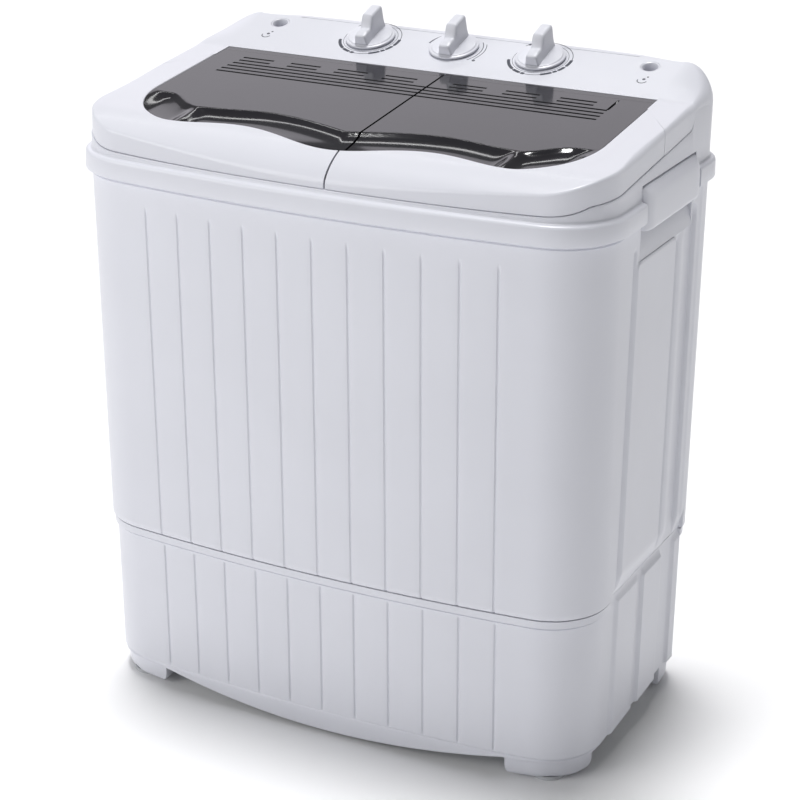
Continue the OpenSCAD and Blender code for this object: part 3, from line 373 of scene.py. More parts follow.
HALF_W, HALF_D = 290.0, 178.0
BOW = 20.0
CORNER_FRONT, CORNER_BACK = 66.0, 45.0
LEAN = math.tan(math.radians(2.26))
SEAM_Z, STEP_Z = 584.0, 192.0
FLUTE_PITCH, FLUTE_SIDE = 39.0, 5
BASE_INSET = 5.0
WALL = 3.0
HINGE_LINE_Y, HINGE_LINE_Z = 88.0, 669.8
PANEL_HALF_X = 249.2
LID_RISE = 0.11
PANEL = math.radians(18)
LID_DEPTH = 24.5
BOW_ANGLE = math.atan(2 * BOW * (HALF_W - CORNER_FRONT) / HALF_W ** 2)
FRONT_END = 226.0
SIDE_START, SIDE_END = -72.0, 132.0
REAR_XS = (235, 200, 150, 100, 50, 0)


def bow_y(x):
    return BOW * (x / HALF_W) ** 2


def outline(kind, v, side, inset, z):
    """A point of the cabinet's outline and its outward direction: (x, y, nx, ny).

    kind is F for the front, C for a front corner, S for a side, B for a rear corner and R for the rear.
    """
    shift = LEAN * max(0.0, SEAM_Z - z)
    if kind == "F":
        slope = 2 * BOW * v / HALF_W ** 2
        length = math.hypot(slope, 1)
        return side * v, -HALF_D + inset + bow_y(v) + shift, side * slope / length, -1 / length
    if kind == "C":
        radius = CORNER_FRONT - inset
        centre_x = HALF_W - CORNER_FRONT
        start_x = centre_x + radius * math.sin(BOW_ANGLE)
        centre_y = -HALF_D + inset + bow_y(start_x) + radius * math.cos(BOW_ANGLE) + shift
        a = BOW_ANGLE - math.pi / 2 + v * (math.pi / 2 - BOW_ANGLE)
        return (side * (centre_x + radius * math.cos(a)), centre_y + radius * math.sin(a),
                side * math.cos(a), math.sin(a))
    if kind == "S":
        return side * (HALF_W - inset), v, side, 0.0
    if kind == "B":
        radius = CORNER_BACK - inset
        a = v * math.pi / 2
        x = HALF_W - CORNER_BACK + radius * math.cos(a)
        y = HALF_D - CORNER_BACK + radius * math.sin(a)
        return side * x, y, side * math.cos(a), math.sin(a)
    return side * v, HALF_D - inset, 0.0, 1.0


def loop_columns(front, sides):
    """All columns round the cabinet, from the front middle to the right and back to it."""
    half = [("F", x) for x in front]
    half += [("C", t) for t in steps(0, 1, 14)]
    half += [("S", y) for y in sides]
    half += [("B", t) for t in steps(0, 1, 10)]
    half += [("R", x) for x in REAR_XS]
    right = [(kind, v, 1) for kind, v in half]
    left = [(kind, v, -1) for kind, v in reversed(half[1:-1])]
    return right + left


def fluted_front():
    """Places across half of the front, close together in each flute."""
    xs = []
    for k in range(FLUTE_SIDE + 1):
        for off in (-2.4, -1.6, -1.05, -0.5, 0, 0.5, 1.05, 1.6, 2.4, 10, 19.5, 29):
            x = k * FLUTE_PITCH + off
            if 0 <= x < FRONT_END:
                xs.append(x)
    return xs + [FRONT_END]


def flute_depth(x, depth, half_width):
    k = round(x / FLUTE_PITCH)
    off = abs(x - k * FLUTE_PITCH)
    if k > FLUTE_SIDE or off >= half_width:
        return 0.0
    return depth * math.cos(math.pi / 2 * off / half_width)


def along(kind, v, side, z, out, inset=0.0):
    """A point at a given height, moved outward from the outline."""
    x, y, nx, ny = outline(kind, v, side, inset, z)
    return (x + nx * out, y + ny * out, z)


# ---------------------------------------------------------------- cabinet shell

HANDLE_Y = (-52.3, 98.3)
HANDLE_EDGES = [edge + step for edge in HANDLE_Y for step in (-0.1, 0.1)]
HANDLE_LOW_Z, HANDLE_TOP_Z = 545.0, 620.3
RECESS = 15.3
PLANE_TOP_Z = 545.0
PLANE_MID_Y, PLANE_HALF = -2.5, 53.0
CHANNEL_Y, CHANNEL_HALF = 95.5, 16.5
CHANNEL_ARCH_Z = 550.5
SEAM_GROOVE_Z = 580.2
SHELL_TOP_Z = 583.2


def rounded_box(u, v, half_u, half_v, radius):
    """Signed distance from a rectangle with rounded corners."""
    du, dv = abs(u) - half_u + radius, abs(v) - half_v + radius
    return math.hypot(max(du, 0), max(dv, 0)) + min(max(du, dv), 0) - radius


def shell_relief(kind, v, z):
    """How far the shell stands out: flutes in front, and a panel, ribs and an arched channel at each side."""
    seam = -1.4 * (1 - smooth(0.6, 1.1, abs(z - SEAM_GROOVE_Z)))
    if kind == "F":
        return seam - flute_depth(v, 1.5, 1.7) * (1 - smooth(552, 561, z))
    if kind != "S":
        return seam
    if HANDLE_Y[0] < v < HANDLE_Y[1] and z > HANDLE_LOW_Z:
        return -RECESS
    out = -2.6 * band(v, -66, -56, 4) * (1 - smooth(555, 561, z))
    plane = rounded_box(v - PLANE_MID_Y, z, PLANE_HALF, PLANE_TOP_Z, 8)
    out += 1.5 * (1 - smooth(-1.5, 0.8, plane))
    out -= 2.2 * band(v, 51, 62, 4) * (1 - smooth(535, 545, z))
    out += 0.8 * band(v, 62, 76, 5) * (1 - smooth(535, 545, z))
    arch = abs(v - CHANNEL_Y) - CHANNEL_HALF
    if z > CHANNEL_ARCH_Z:
        arch = math.hypot(v - CHANNEL_Y, z - CHANNEL_ARCH_Z) - CHANNEL_HALF
    out -= 4.5 * (1 - smooth(-3.2, 0, arch))
    out += 0.7 * band(v, 119, 131, 4)
    taper = (1 - clamp((z - STEP_Z) / 22)) * smooth(-72, -60, v)
    return out * (1 - taper) - BASE_INSET * taper * 0.92


def build_shell():
    sides = sorted(steps(SIDE_START, SIDE_END, 136) + HANDLE_EDGES)
    rows = steps(193, 225, 6) + steps(260, 520, 9)
    rows += steps(530, 544.8, 8) + steps(545.2, 578.4, 16)
    rows += [579, 579.3, SEAM_GROOVE_Z, 581.1, 581.4, SHELL_TOP_Z]
    inner_rows = (SHELL_TOP_Z, 545.2, 544.8, 225)
    columns = []
    for kind, v, side in loop_columns(fluted_front(), sides):
        low = shell_relief(kind, v, STEP_Z)
        column = [along(kind, v, side, STEP_Z, low - inset) for inset in (WALL, 0.8)]
        column += [along(kind, v, side, z, shell_relief(kind, v, z)) for z in rows]
        column += [along(kind, v, side, z, shell_relief(kind, v, z) - WALL) for z in inner_rows]
        columns.append(column)
    verts, faces = sweep(columns, True)
    shell = finish_mesh("cabinet_shell_moulding", verts, faces, "cabinet", WHITE)
    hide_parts("cabinet_shell")


# ---------------------------------------------------------------- base

RAIL_Z = 27.5
SKIRT_Z = 4.2
FOOT_X = 203.0
# Where the base steps in or out along its side: start, end, height
BASE_STEPS = [(-52, -48, 2.6), (8, 12, -2.2), (20, 24, 3.2), (74, 79, -3.6), (112, 117, 3.0)]
BASE_TOP_Z = 191.7
FLOOR_LOW_Z, FLOOR_TOP_Z = 32, 36
SPRING_CENTRE, SPRING_RING = (150, -31), 78
# Spring seat on the floor plate: radius, height
SPRING_POST = [(0, 35.9), (17, 35.9), (14, 39), (14, 103.2), (13.2, 104), (6.5, 104), (6.5, 108), (5.5, 109),
               (0, 109)]
# Corner foot from its top down: height, how far the outline is pulled in
FOOT_LAYERS = [(31, 0.0), (12, 1.0), (8, 1.8), (5.6, 3.4), (4.4, 5.6), (4.0, 8.5)]


def base_relief(kind, v, z):
    """How far the base stands out: a bead under the joint, flutes, side steps and a line near its foot."""
    bead = 3.0 * smooth(181.2, 182, z) * (1 - smooth(189.8, 190.4, z))
    bead -= 1.4 * (1 - smooth(0.4, 1.3, abs(z - 180.4)))
    out = bead * (1 - smooth(-72, -60, v)) if kind == "S" else bead
    if kind == "F":
        out -= flute_depth(v, 1.6, 1.7) * band(z, 29.5, 178, 3)
    if kind == "S":
        for start, end, height in BASE_STEPS:
            out += height * smooth(start, end, v) * (1 - smooth(180, 189, z))
    if kind in "FCR":
        out -= 2.4 * (1 - smooth(0.3, 1.6, abs(z - RAIL_Z)))
        out -= 1.2 * (1 - smooth(RAIL_Z - 1.5, RAIL_Z, z))
    return out


def base_low_z(kind, v):
    if kind == "F":
        return SKIRT_Z + 18.5 * min(1, v / FOOT_X) ** 2
    if kind == "S":
        return lerp(25, 36, clamp((v + 72) / 190))
    return 24.0 if kind == "C" else 33.0


def build_base():
    risers = [y for start, end, _ in BASE_STEPS for y in (start, (start + end) / 2, end)]
    sides = sorted(steps(SIDE_START, SIDE_END, 51) + risers)
    high = [36, 60, 90, 130, 168, 175, 177, 178, 179.1, 180, 180.8, 181.2, 181.7, 182, 184, 188]
    high += [189.8, 190.1, 190.4, BASE_TOP_Z]
    columns = []
    for kind, v, side in loop_columns(fluted_front(), sides):
        low = base_low_z(kind, v)
        if kind in "FC":
            rows = [low, low + 0.8, lerp(low, 25.2, 0.7), 25.5, 26.4, 27.5, 28.6, 29.4, 31, 33.5]
        else:
            rows = steps(low, 35, 10)[:-1]
        out = base_relief(kind, v, low)
        column = [along(kind, v, side, low, out - inset, BASE_INSET) for inset in (WALL, 0.8)]
        column += [along(kind, v, side, z, base_relief(kind, v, z), BASE_INSET) for z in rows[1:] + high]
        column.append(along(kind, v, side, BASE_TOP_Z, -WALL, BASE_INSET))
        columns.append(column)
    verts, faces = sweep(columns, True)
    base = finish_mesh("base_moulding", verts, faces, "cabinet", WHITE)
    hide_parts("base_chassis")


def build_base_floor():
    """The floor plate with its three spring seats."""
    ring = []
    for kind, v, side in loop_columns(steps(0, FRONT_END, 8), steps(SIDE_START, SIDE_END, 6)):
        x, y, _ = along(kind, v, side, 34, -WALL, BASE_INSET)
        ring.append((x, y))
    n = len(ring)
    verts = [(x, y, z) for z in (FLOOR_LOW_Z, FLOOR_TOP_Z) for x, y in ring]
    faces = [tuple(range(n)), tuple(range(2 * n - 1, n - 1, -1))]
    faces += [(i, (i + 1) % n, n + (i + 1) % n, n + i) for i in range(n)]
    parts = [(verts, faces)]
    for angle in (90, 210, 330):
        x = SPRING_CENTRE[0] + SPRING_RING * math.cos(math.radians(angle))
        y = SPRING_CENTRE[1] + SPRING_RING * math.sin(math.radians(angle))
        parts.append(lathe(SPRING_POST, (x, y, 0), 40))
    verts, faces = merge(parts)
    finish_mesh("base_floor_plate", verts, faces, "cabinet", WHITE_INNER)


def build_feet():
    """Four corner blocks that follow the outline and close with a rounded bottom edge."""
    front = [("F", x) for x in steps(FOOT_X, FRONT_END, 4)] + [("C", t) for t in steps(0, 0.98, 14)]
    back = [("S", 108.0), ("S", 120.0)]
    back += [("B", t) for t in steps(0, 1, 10)]
    back += [("R", 236.0), ("R", 222.0)]
    parts = []
    for side in (-1, 1):
        for columns, inner in ((front, (208, -84)), (back, (224, 112))):
            rim = []
            for kind, v in columns:
                x, y, _ = along(kind, v, side, 16, -4.2, BASE_INSET)
                rim.append((x, y))
            rim.append((side * inner[0], inner[1]))
            mid_x = sum(p[0] for p in rim) / len(rim)
            mid_y = sum(p[1] for p in rim) / len(rim)
            outline_points = round_corners(rim, 2)
            rings = []
            for z, pull in FOOT_LAYERS:
                ring = []
                for x, y in outline_points:
                    length = math.hypot(x - mid_x, y - mid_y)
                    scale = 1 - pull / length
                    ring.append((mid_x + (x - mid_x) * scale, mid_y + (y - mid_y) * scale, z))
                rings.append(ring)
            n = len(outline_points)
            verts = [p for ring in rings for p in ring]
            faces = [tuple(range(n)), tuple(reversed(range((len(rings) - 1) * n, len(rings) * n)))]
            for k in range(len(rings) - 1):
                for i in range(n):
                    j = (i + 1) % n
                    faces.append((k * n + i, (k + 1) * n + i, (k + 1) * n + j, k * n + j))
            parts.append((verts, faces))
    verts, faces = merge(parts)
    finish_mesh("corner_feet", verts, faces, "cabinet", WHITE)


# ---------------------------------------------------------------- heights of the lids and the panel

ROLL_Y, ROLL_LEN, ROLL_H = -120.0, 59.0, 34.0
EDGE_FRONT_Z, EDGE_BEND_Y = 609.0, -142.0
LID_INSET = 1.2
SEAM_POINT = (HALF_W, 6.0)
WINDOW_X = 250.0
BORDER_END_Y = 60.0
LINE_TURN_Y = 74.0
PANEL_BACK_Y = 163.3
LID_SEAM_X = 14.0
DECK_Z = 594.2


def lid_z(y):
    return HINGE_LINE_Z + LID_RISE * (y - HINGE_LINE_Y)


def lid_top(y):
    """The lid's face: flat, then rolled down towards the front."""
    if y > ROLL_Y:
        return lid_z(y)
    return lid_z(y) - ROLL_H * (1 - math.sqrt(max(0.0, 1 - ((ROLL_Y - y) / ROLL_LEN) ** 2)))


def lid_edge(y):
    """The lower edge of the lid's rim."""
    if y > EDGE_BEND_Y:
        return lid_z(y) - LID_DEPTH
    rise = lid_z(EDGE_BEND_Y) - LID_DEPTH - EDGE_FRONT_Z
    return EDGE_FRONT_Z + rise * ((max(y, -HALF_D) + HALF_D) / (EDGE_BEND_Y + HALF_D)) ** 2


def house_z(x, y):
    """The face of the rear housing: level with the lids, then the panel's slope, lower towards its sides."""
    z = lid_z(y) if y < HINGE_LINE_Y else HINGE_LINE_Z + math.tan(PANEL) * (min(y, 170) - HINGE_LINE_Y)
    return z - 10 * smooth(85, 150, y) * clamp((abs(x) - PANEL_HALF_X) / 41) ** 1.6


def edge_radius(y, x=0.0):
    """The top's outer edge is tight at the front and grows softer towards the rear corners."""
    corner = smooth(110, 170, y) * smooth(170, 250, abs(x))
    return 2 + 4.5 * smooth(-150, -60, y) + 6 * smooth(80, 150, y) + 9 * corner


def rounding(distance, radius):
    """How far a quarter-round edge drops at a distance in from its outer face."""
    if distance >= radius:
        return 0.0
    return radius * (1 - math.sqrt(max(0.0, 1 - ((radius - distance) / radius) ** 2)))


def join_z(kind, v, side):
    """Height of the line between the cover's outer ring and what sits on it."""
    x, y, _, _ = outline(kind, v, side, 0, SEAM_Z)
    if y < SEAM_POINT[1]:
        return lid_edge(y) - 0.2
    high = house_z(x, max(y, HINGE_LINE_Y)) - edge_radius(max(y, HINGE_LINE_Y), x) - 1
    if y < LINE_TURN_Y:
        return lid_z(y) - LID_DEPTH - 0.2
    if y < HINGE_LINE_Y:
        low = lid_z(LINE_TURN_Y) - LID_DEPTH - 0.2
        t = (y - LINE_TURN_Y) / (HINGE_LINE_Y - LINE_TURN_Y)
        return low + (high - low) * (1 - math.sqrt(1 - t * t))
    return high


# ---------------------------------------------------------------- top cover: ring, rear housing

COVER_SIDES = sorted(
    steps(SIDE_START, SIDE_END, 34) + steps(LINE_TURN_Y, HINGE_LINE_Y, 14)
    + [SEAM_POINT[1] - 0.05, SEAM_POINT[1] + 0.05] + HANDLE_EDGES)
# Flange of the cover ring from its foot up: height, how far it stands out
FLANGE = [(584.0, 5.8), (584.3, 6.6), (585.3, 7.0), (600.6, 6.6), (602.2, 6.2), (603.4, 5.2), (604.2, 3.4),
          (604.6, 1.6), (605.4, 0.5), (607.0, 0.0)]


def ring_out(kind, v, z, out):
    """The ring stands back behind the carry handles."""
    if kind == "S" and HANDLE_Y[0] < v < HANDLE_Y[1] and z < HANDLE_TOP_Z:
        return -RECESS
    return out


def build_cover_ring():
    columns = []
    for kind, v, side in loop_columns(steps(0, FRONT_END, 24), COVER_SIDES):
        top = join_z(kind, v, side)
        column = [along(kind, v, side, SEAM_Z, ring_out(kind, v, SEAM_Z, -WALL))]
        column += [along(kind, v, side, z, ring_out(kind, v, z, out)) for z, out in FLANGE]
        free = top > HANDLE_TOP_Z + 1
        for z in (HANDLE_TOP_Z - 0.1, HANDLE_TOP_Z + 0.1) if free else (607.2, 607.4):
            column.append(along(kind, v, side, z, ring_out(kind, v, z, 0.0)))
        soft = 1.2 if outline(kind, v, side, 0, SEAM_Z)[1] < LINE_TURN_Y else 0.05
        column.append(along(kind, v, side, top - soft, 0.0))
        column.append(along(kind, v, side, top - soft * 0.3, -soft * 0.3))
        column.append(along(kind, v, side, top, -soft))
        column.append(along(kind, v, side, top, -WALL - 2))
        for z in (HANDLE_TOP_Z + 0.1, HANDLE_TOP_Z - 0.1) if free else (607.4, 607.2):
            thick = WALL + 2 if free and z > HANDLE_TOP_Z else WALL
            column.append(along(kind, v, side, z, ring_out(kind, v, z, 0.0) - thick))
        columns.append(column)
    verts, faces = sweep(columns, True)
    ring = finish_mesh("top_cover_ring", verts, faces, "cabinet", WHITE)
    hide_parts("top_cover")


def house_inset(y):
    """The rear borders share the lids' inset; the housing itself stands flush."""
    return LID_INSET * (1 - smooth(70, 90, y))


def house_pairs():
    """Outer and inner plan points of the rear housing, from the right seam round the back to the left."""
    outer = [("S", SEAM_POINT[1] + 0.3)]
    outer += [("S", y) for y in COVER_SIDES if y > SEAM_POINT[1] + 0.5]
    outer += [("B", t) for t in steps(0, 1, 14)]
    right = []
    for kind, v in outer:
        y = outline(kind, v, 1, 0, SEAM_Z)[1]
        t = clamp((y - SEAM_POINT[1]) / (HALF_D - 14 - SEAM_POINT[1]))
        inner_y = lerp(BORDER_END_Y + 0.3, PANEL_BACK_Y, t)
        right.append((kind, v, 1, (PANEL_HALF_X, inner_y)))
    back = [("R", x, 1, (x, PANEL_BACK_Y)) for x in REAR_XS]
    mirror = [(kind, v, -1, (-p[0], p[1])) for kind, v, _, p in reversed(right + back[:-1])]
    return right + back + mirror


HOUSE_EDGE_STEPS = 7


def build_house():
    columns = []
    for kind, v, side, inner in house_pairs():
        y0 = outline(kind, v, side, 0, SEAM_Z)[1]
        inset = house_inset(y0)
        ox, oy, _, _ = outline(kind, v, side, inset, SEAM_Z)
        low = join_z(kind, v, side) + (0.3 if y0 < HINGE_LINE_Y else 0.0)
        radius = edge_radius(y0, ox)
        length = math.hypot(inner[0] - ox, inner[1] - oy)
        top = [radius * (1 - math.cos(math.radians(a))) for a in steps(0, 90, HOUSE_EDGE_STEPS)]
        top += steps(radius, length, 10)[1:]
        wall_top = house_z(ox, oy) - radius
        start = min(low, wall_top - 0.3)
        column = [along(kind, v, side, start, -WALL, inset), along(kind, v, side, start, 0.0, inset)]
        column.append(along(kind, v, side, lerp(start, wall_top, 0.5), 0.0, inset))
        under = []
        for i, d in enumerate(top):
            t = d / length
            x, y = lerp(ox, inner[0], t), lerp(oy, inner[1], t)
            z = house_z(x, y) - rounding(d, radius)
            column.append((x, y, z))
            if i >= HOUSE_EDGE_STEPS:
                under.append((x, y, z - WALL))
        column += reversed(under)
        columns.append(column)
    verts, faces = sweep(columns, False)
    finish_mesh("control_housing", verts, faces, "cabinet", WHITE, sharp=32)


def build_house_wall():
    """The upright wall that closes the housing and the two borders towards the lids."""
    half = [(285.5, 8), (252.6, 61.4), (252.6, 90.2)]
    path = half + [(0, 90.2)] + [(-x, y) for x, y in reversed(half)]
    columns = []
    for i, (x, y) in enumerate(path):
        before, after = path[max(0, i - 1)], path[min(len(path) - 1, i + 1)]
        dx, dy = after[0] - before[0], after[1] - before[1]
        length = math.hypot(dx, dy)
        bx, by = x + dy / length * -WALL, y + dx / length * WALL
        if by < y:
            bx, by = 2 * x - bx, 2 * y - by
        top = min(lid_z(y), HINGE_LINE_Z) - 3.4
        columns.append([(x, y, DECK_Z), (x, y, top), (bx, by, top), (bx, by, DECK_Z)])
    verts, faces = sweep(columns, False)
    finish_mesh("housing_inner_wall", verts, faces, "cabinet", WHITE)


build_shell()
build_base()
build_base_floor()
build_feet()
build_cover_ring()
build_house()
build_house_wall()

# ---------------------------------------------------------------- control panel

PANEL_LEN, PANEL_T = 78.4, 3.0
KNOB_UP, KNOB_PITCH, KNOB_GAP = 52.0, 100.0, 1.2
INLET_X, INLET_UP = 218.0, 62.0


def on_panel(x, up, over):
    """A point given along the tilted panel: across, up its slope and above its face."""
    return (x, HINGE_LINE_Y + up * math.cos(PANEL) - over * math.sin(PANEL),
            HINGE_LINE_Z + up * math.sin(PANEL) + over * math.cos(PANEL))


def ring_points(radius, count=64):
    angles = [math.tau * i / count for i in range(count)]
    return [(radius * math.cos(a), radius * math.sin(a)) for a in angles]


def build_fascia():
    """A flat plate with round holes, laid on the slope."""
    low, high = 0.5, PANEL_LEN
    loops = [[(-PANEL_HALF_X, low), (PANEL_HALF_X, low), (PANEL_HALF_X, high), (-PANEL_HALF_X, high)]]
    for k in (-1, 0, 1):
        loops.append([(k * KNOB_PITCH + x, KNOB_UP + y) for x, y in ring_points(4.5, 32)])
    for side in (-1, 1):
        loops.append([(side * INLET_X + x, INLET_UP + y) for x, y in ring_points(10.3)])
    triangles = tessellate_polygon([[Vector((x, y, 0)) for x, y in loop] for loop in loops])
    flat = [point for loop in loops for point in loop]
    count = len(flat)
    verts = [on_panel(x, y, 0) for x, y in flat] + [on_panel(x, y, -PANEL_T) for x, y in flat]
    faces = [tuple(t) for t in triangles] + [tuple(count + i for i in reversed(t)) for t in triangles]
    start = 0
    for loop in loops:
        for i in range(len(loop)):
            j, k = start + i, start + (i + 1) % len(loop)
            faces.append((j, k, count + k, count + j))
        start += len(loop)
    fascia = finish_mesh("control_panel_plate", verts, faces, "cabinet", WHITE)
    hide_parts("control_fascia")


def build_inlets():
    """Two filling holes with a flared rim."""
    bore = [(10.0, -0.1), (8.7, -0.5), (7.7, -2.2), (7.1, -6), (7.0, -33.6), (9.8, -33.6), (10.0, -3.4),
            (10.0, -0.6)]
    parts = []
    for side in (-1, 1):
        verts, faces = lathe(bore, (0, 0, 0), 64)
        parts.append(([on_panel(side * INLET_X + x, INLET_UP + y, z) for x, y, z in verts], faces))
    verts, faces = merge(parts)
    inlets = finish_mesh("inlet_funnels", verts, faces, "cabinet", WHITE)
    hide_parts("inlet_ports")


def arc_strip(x, up, inner, outer, start, end):
    """A thin raised arc on the panel; angles run anticlockwise from the right."""
    count = max(2, int(abs(end - start) / 4))
    columns = []
    for a in steps(math.radians(start), math.radians(end), count):
        c, s = math.cos(a), math.sin(a)
        columns.append([on_panel(x + r * c, up + r * s, o)
                        for r, o in ((inner, -0.05), (outer, -0.05), (outer, 0.12), (inner, 0.12))])
    return sweep(columns, abs(end - start) == 360)


# Blocks of the timer scale, in degrees anticlockwise from the right
TIMER_SCALE = ((196, 232), (235, 252), (255, 262), (292, 312), (315, 322), (325, 340), (344, 366), (128, 134))


def build_dial_marks():
    """Generic printed arcs, dots and a drop mark, without lettering."""
    parts = []
    for k in (-1, 1):
        x = k * KNOB_PITCH
        parts.append(arc_strip(x, KNOB_UP, 33.6, 34.3, 195, 500))
        parts.append(arc_strip(x, KNOB_UP, 29.6, 30.0, 0, 360))
        for start, end in TIMER_SCALE:
            parts.append(arc_strip(x, KNOB_UP, 32.0, 35.4, start, end))
    parts.append(arc_strip(0, KNOB_UP, 31.0, 32.6, 140, 172))
    parts.append(arc_strip(0, KNOB_UP, 31.0, 31.8, 320, 395))
    parts.append(arc_strip(0, KNOB_UP, 34.6, 35.3, 330, 385))
    parts.append(arc_strip(31.5, KNOB_UP - 20, 0.4, 1.8, 0, 360))
    for side in (-1, 1):
        x = side * (INLET_X + 2)
        parts.append(arc_strip(x, 33, 4.4, 5.4, 170, 350))
        parts.append(arc_strip(x + 1, 36, 0.3, 1.7, 0, 360))
        parts.append(arc_strip(x + 3.5, 41, 0.3, 1.1, 0, 360))
    verts, faces = merge(parts)
    finish_mesh("dial_marks", verts, faces, "cabinet", PRINT)


build_fascia()
build_inlets()
build_dial_marks()

# ---------------------------------------------------------------- knobs

# Skirt of a knob from its bore out and back to the top: radius, height over the panel
KNOB_SKIRT = [(3.2, 0.2), (26.4, 0.2), (27.0, 0.6), (27.0, 1.5), (26.7, 2.0), (26.1, 2.3), (24.4, 2.4),
              (24.1, 2.6), (23.9, 3.0), (23.5, 3.3), (22.8, 3.4), (12.0, 4.3), (3.2, 4.6)]
GRIP_HALF_LEN, GRIP_HALF_W, GRIP_END = 23.2, 7.4, 2.6


def knob_point(x, up, over):
    return on_panel(x, up, over + KNOB_GAP)


def build_knob(name, k, node, body):
    """A round skirt with a raised grip, whose front end is lower than its back."""
    centre = k * KNOB_PITCH
    verts, faces = lathe(KNOB_SKIRT, (0, 0, 0), 96)
    parts = [([knob_point(centre + x, KNOB_UP + y, z) for x, y, z in verts], faces)]
    columns = []
    for t in steps(-1, 1, 44):
        v = GRIP_HALF_LEN * t
        end = math.sqrt(max(0.0, 1 - clamp((abs(v) - GRIP_HALF_LEN + GRIP_END) / GRIP_END) ** 2))
        top = lerp(15.4, 27.4, smooth(-9, 1.5, v)) - 1.3 * (1 - end) - 1.2 * smooth(-14, -22, v)
        half = GRIP_HALF_W * lerp(0.84, 1, end)
        waist = half - 0.7
        right = [(half + 0.5, 3.9), (half - 0.1, 6.0), (waist, 10), (waist - 0.2, top - 2.4),
                 (waist - 0.8, top - 0.9), (waist - 2.0, top - 0.2), (waist - 3.6, top)]
        left = [(-x, z) for x, z in reversed(right)]
        columns.append([knob_point(centre + x, KNOB_UP + v, z) for x, z in right + left])
    parts.append(sweep(columns, False))
    verts, faces = merge(parts)
    knob = finish_mesh(name, verts, faces, body, WHITE)
    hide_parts(node)


build_knob("wash_timer_dial_knob", -1, "wash_timer_knob", "wash_timer_dial")
build_knob("selector_dial_knob", 0, "selector_knob", "selector_dial")
build_knob("spin_timer_dial_knob", 1, "spin_timer_knob", "spin_timer_dial")

# ---------------------------------------------------------------- lids

WIN_MID_Y, WIN_HUMP_Y, WIN_DIP_Y = -147.0, -127.0, -136.5
WIN_HUMP_X, WIN_DIP_X, WIN_SIDE_Y = 108.0, 184.0, -52.0
LID_T = 3.0
WINDOW_BACK_Y = 87.2
BARREL_Y, BARREL_Z, BARREL_R = 80, 664, 4.6
LID_EDGE_STEPS = 8


def wave(x, mid, hump, dip):
    """A line that starts at mid, rises to hump and falls to dip as it leaves the seam."""
    x = abs(x)
    if x < WIN_HUMP_X:
        return (mid + hump) / 2 - (hump - mid) / 2 * math.cos(math.pi * x / WIN_HUMP_X)
    t = min(1, (x - WIN_HUMP_X) / (WIN_DIP_X - WIN_HUMP_X))
    return (hump + dip) / 2 + (hump - dip) / 2 * math.cos(math.pi * t)


def window_front(x):
    """The front edge of the smoked window: a wave, then a rounded outer corner."""
    x = abs(x)
    if x <= WIN_DIP_X:
        return wave(x, WIN_MID_Y, WIN_HUMP_Y, WIN_DIP_Y)
    t = min(1, (x - WIN_DIP_X) / (WINDOW_X - WIN_DIP_X))
    return WIN_SIDE_Y - (WIN_SIDE_Y - WIN_DIP_Y) * math.sqrt(max(0.0, 1 - t * t))


def scoop_top(x):
    """The upper edge of the finger scoop."""
    x = abs(x)
    if x < 100:
        return -107 + 22 * math.sin(math.pi / 2 * x / 100)
    return -85 - 9 * smooth(100, 172, x) + 27 * smooth(180, 226, x)


def lid_pairs(x0, side):
    """Outer column and inner point pairs of one lid frame, from the seam to the slanted rear end."""
    pairs = []
    for x in steps(x0 * side, 176, 34):
        outer = ("F", abs(x), side if x >= 0 else -side)
        pairs.append((*outer, (side * x, window_front(x))))
    corner = [("F", x) for x in steps(180, FRONT_END, 8)] + [("C", t) for t in steps(0, 1, 22)[1:]]
    corner += [("S", y) for y in (-66, -60)]
    for i, (kind, v) in enumerate(corner):
        a = math.radians(90 * (1 - (i + 0.6) / len(corner)))
        x = WIN_DIP_X + (WINDOW_X - WIN_DIP_X) * math.cos(a)
        y = WIN_SIDE_Y - (WIN_SIDE_Y - WIN_DIP_Y) * math.sin(a)
        pairs.append((kind, v, side, (side * x, y)))
    for t in steps(0, 1, 14):
        pairs.append(("S", lerp(-54, SEAM_POINT[1] - 0.3, t), side,
                      (side * WINDOW_X, lerp(WIN_SIDE_Y, BORDER_END_Y - 0.3, t))))
    return pairs


def build_lid_frame(name, x0, side, node, body):
    columns = []
    for kind, v, hand, inner in lid_pairs(x0, side):
        ox, oy, _, _ = outline(kind, v, hand, LID_INSET, SEAM_Z)
        low = lid_edge(oy) + 0.15
        radius = edge_radius(oy)
        length = math.hypot(inner[0] - ox, inner[1] - oy)
        wall_top = lid_top(oy) - radius
        low = min(low, wall_top - 1.5)
        rim = ((low, -LID_T), (low, -0.5), (low + 0.5, 0.0), (lerp(low, wall_top, 0.5), 0.0))
        column = [along(kind, v, hand, z, out, LID_INSET) for z, out in rim]
        top = [radius * (1 - math.cos(math.radians(a))) for a in steps(0, 90, LID_EDGE_STEPS)]
        top += steps(radius, length - 0.7, 16)[1:] + [length - 0.25, length]
        under = []
        for i, d in enumerate(top):
            t = d / length
            x, y = lerp(ox, inner[0], t), lerp(oy, inner[1], t)
            edge = (0.0, 0.2, 0.7)[max(0, i - len(top) + 3)]
            z = lid_top(y) - rounding(d, radius) - edge
            column.append((x, y, z))
            if i > LID_EDGE_STEPS and (i % 3 == 0 or i == len(top) - 1):
                under.append((x, y, lid_top(y) - LID_T))
        column += reversed(under)
        columns.append(column)
    verts, faces = sweep(columns, False)
    frame_piece = finish_mesh(name, verts, faces, body, WHITE, sharp=40)
    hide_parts(node)


LOUVRE_BACK_Y, LOUVRE_PITCH, LOUVRE_COUNT, LOUVRE_HALF = 61.0, 9.4, 6, 1.5
LOUVRE_DEPTH = 2.4
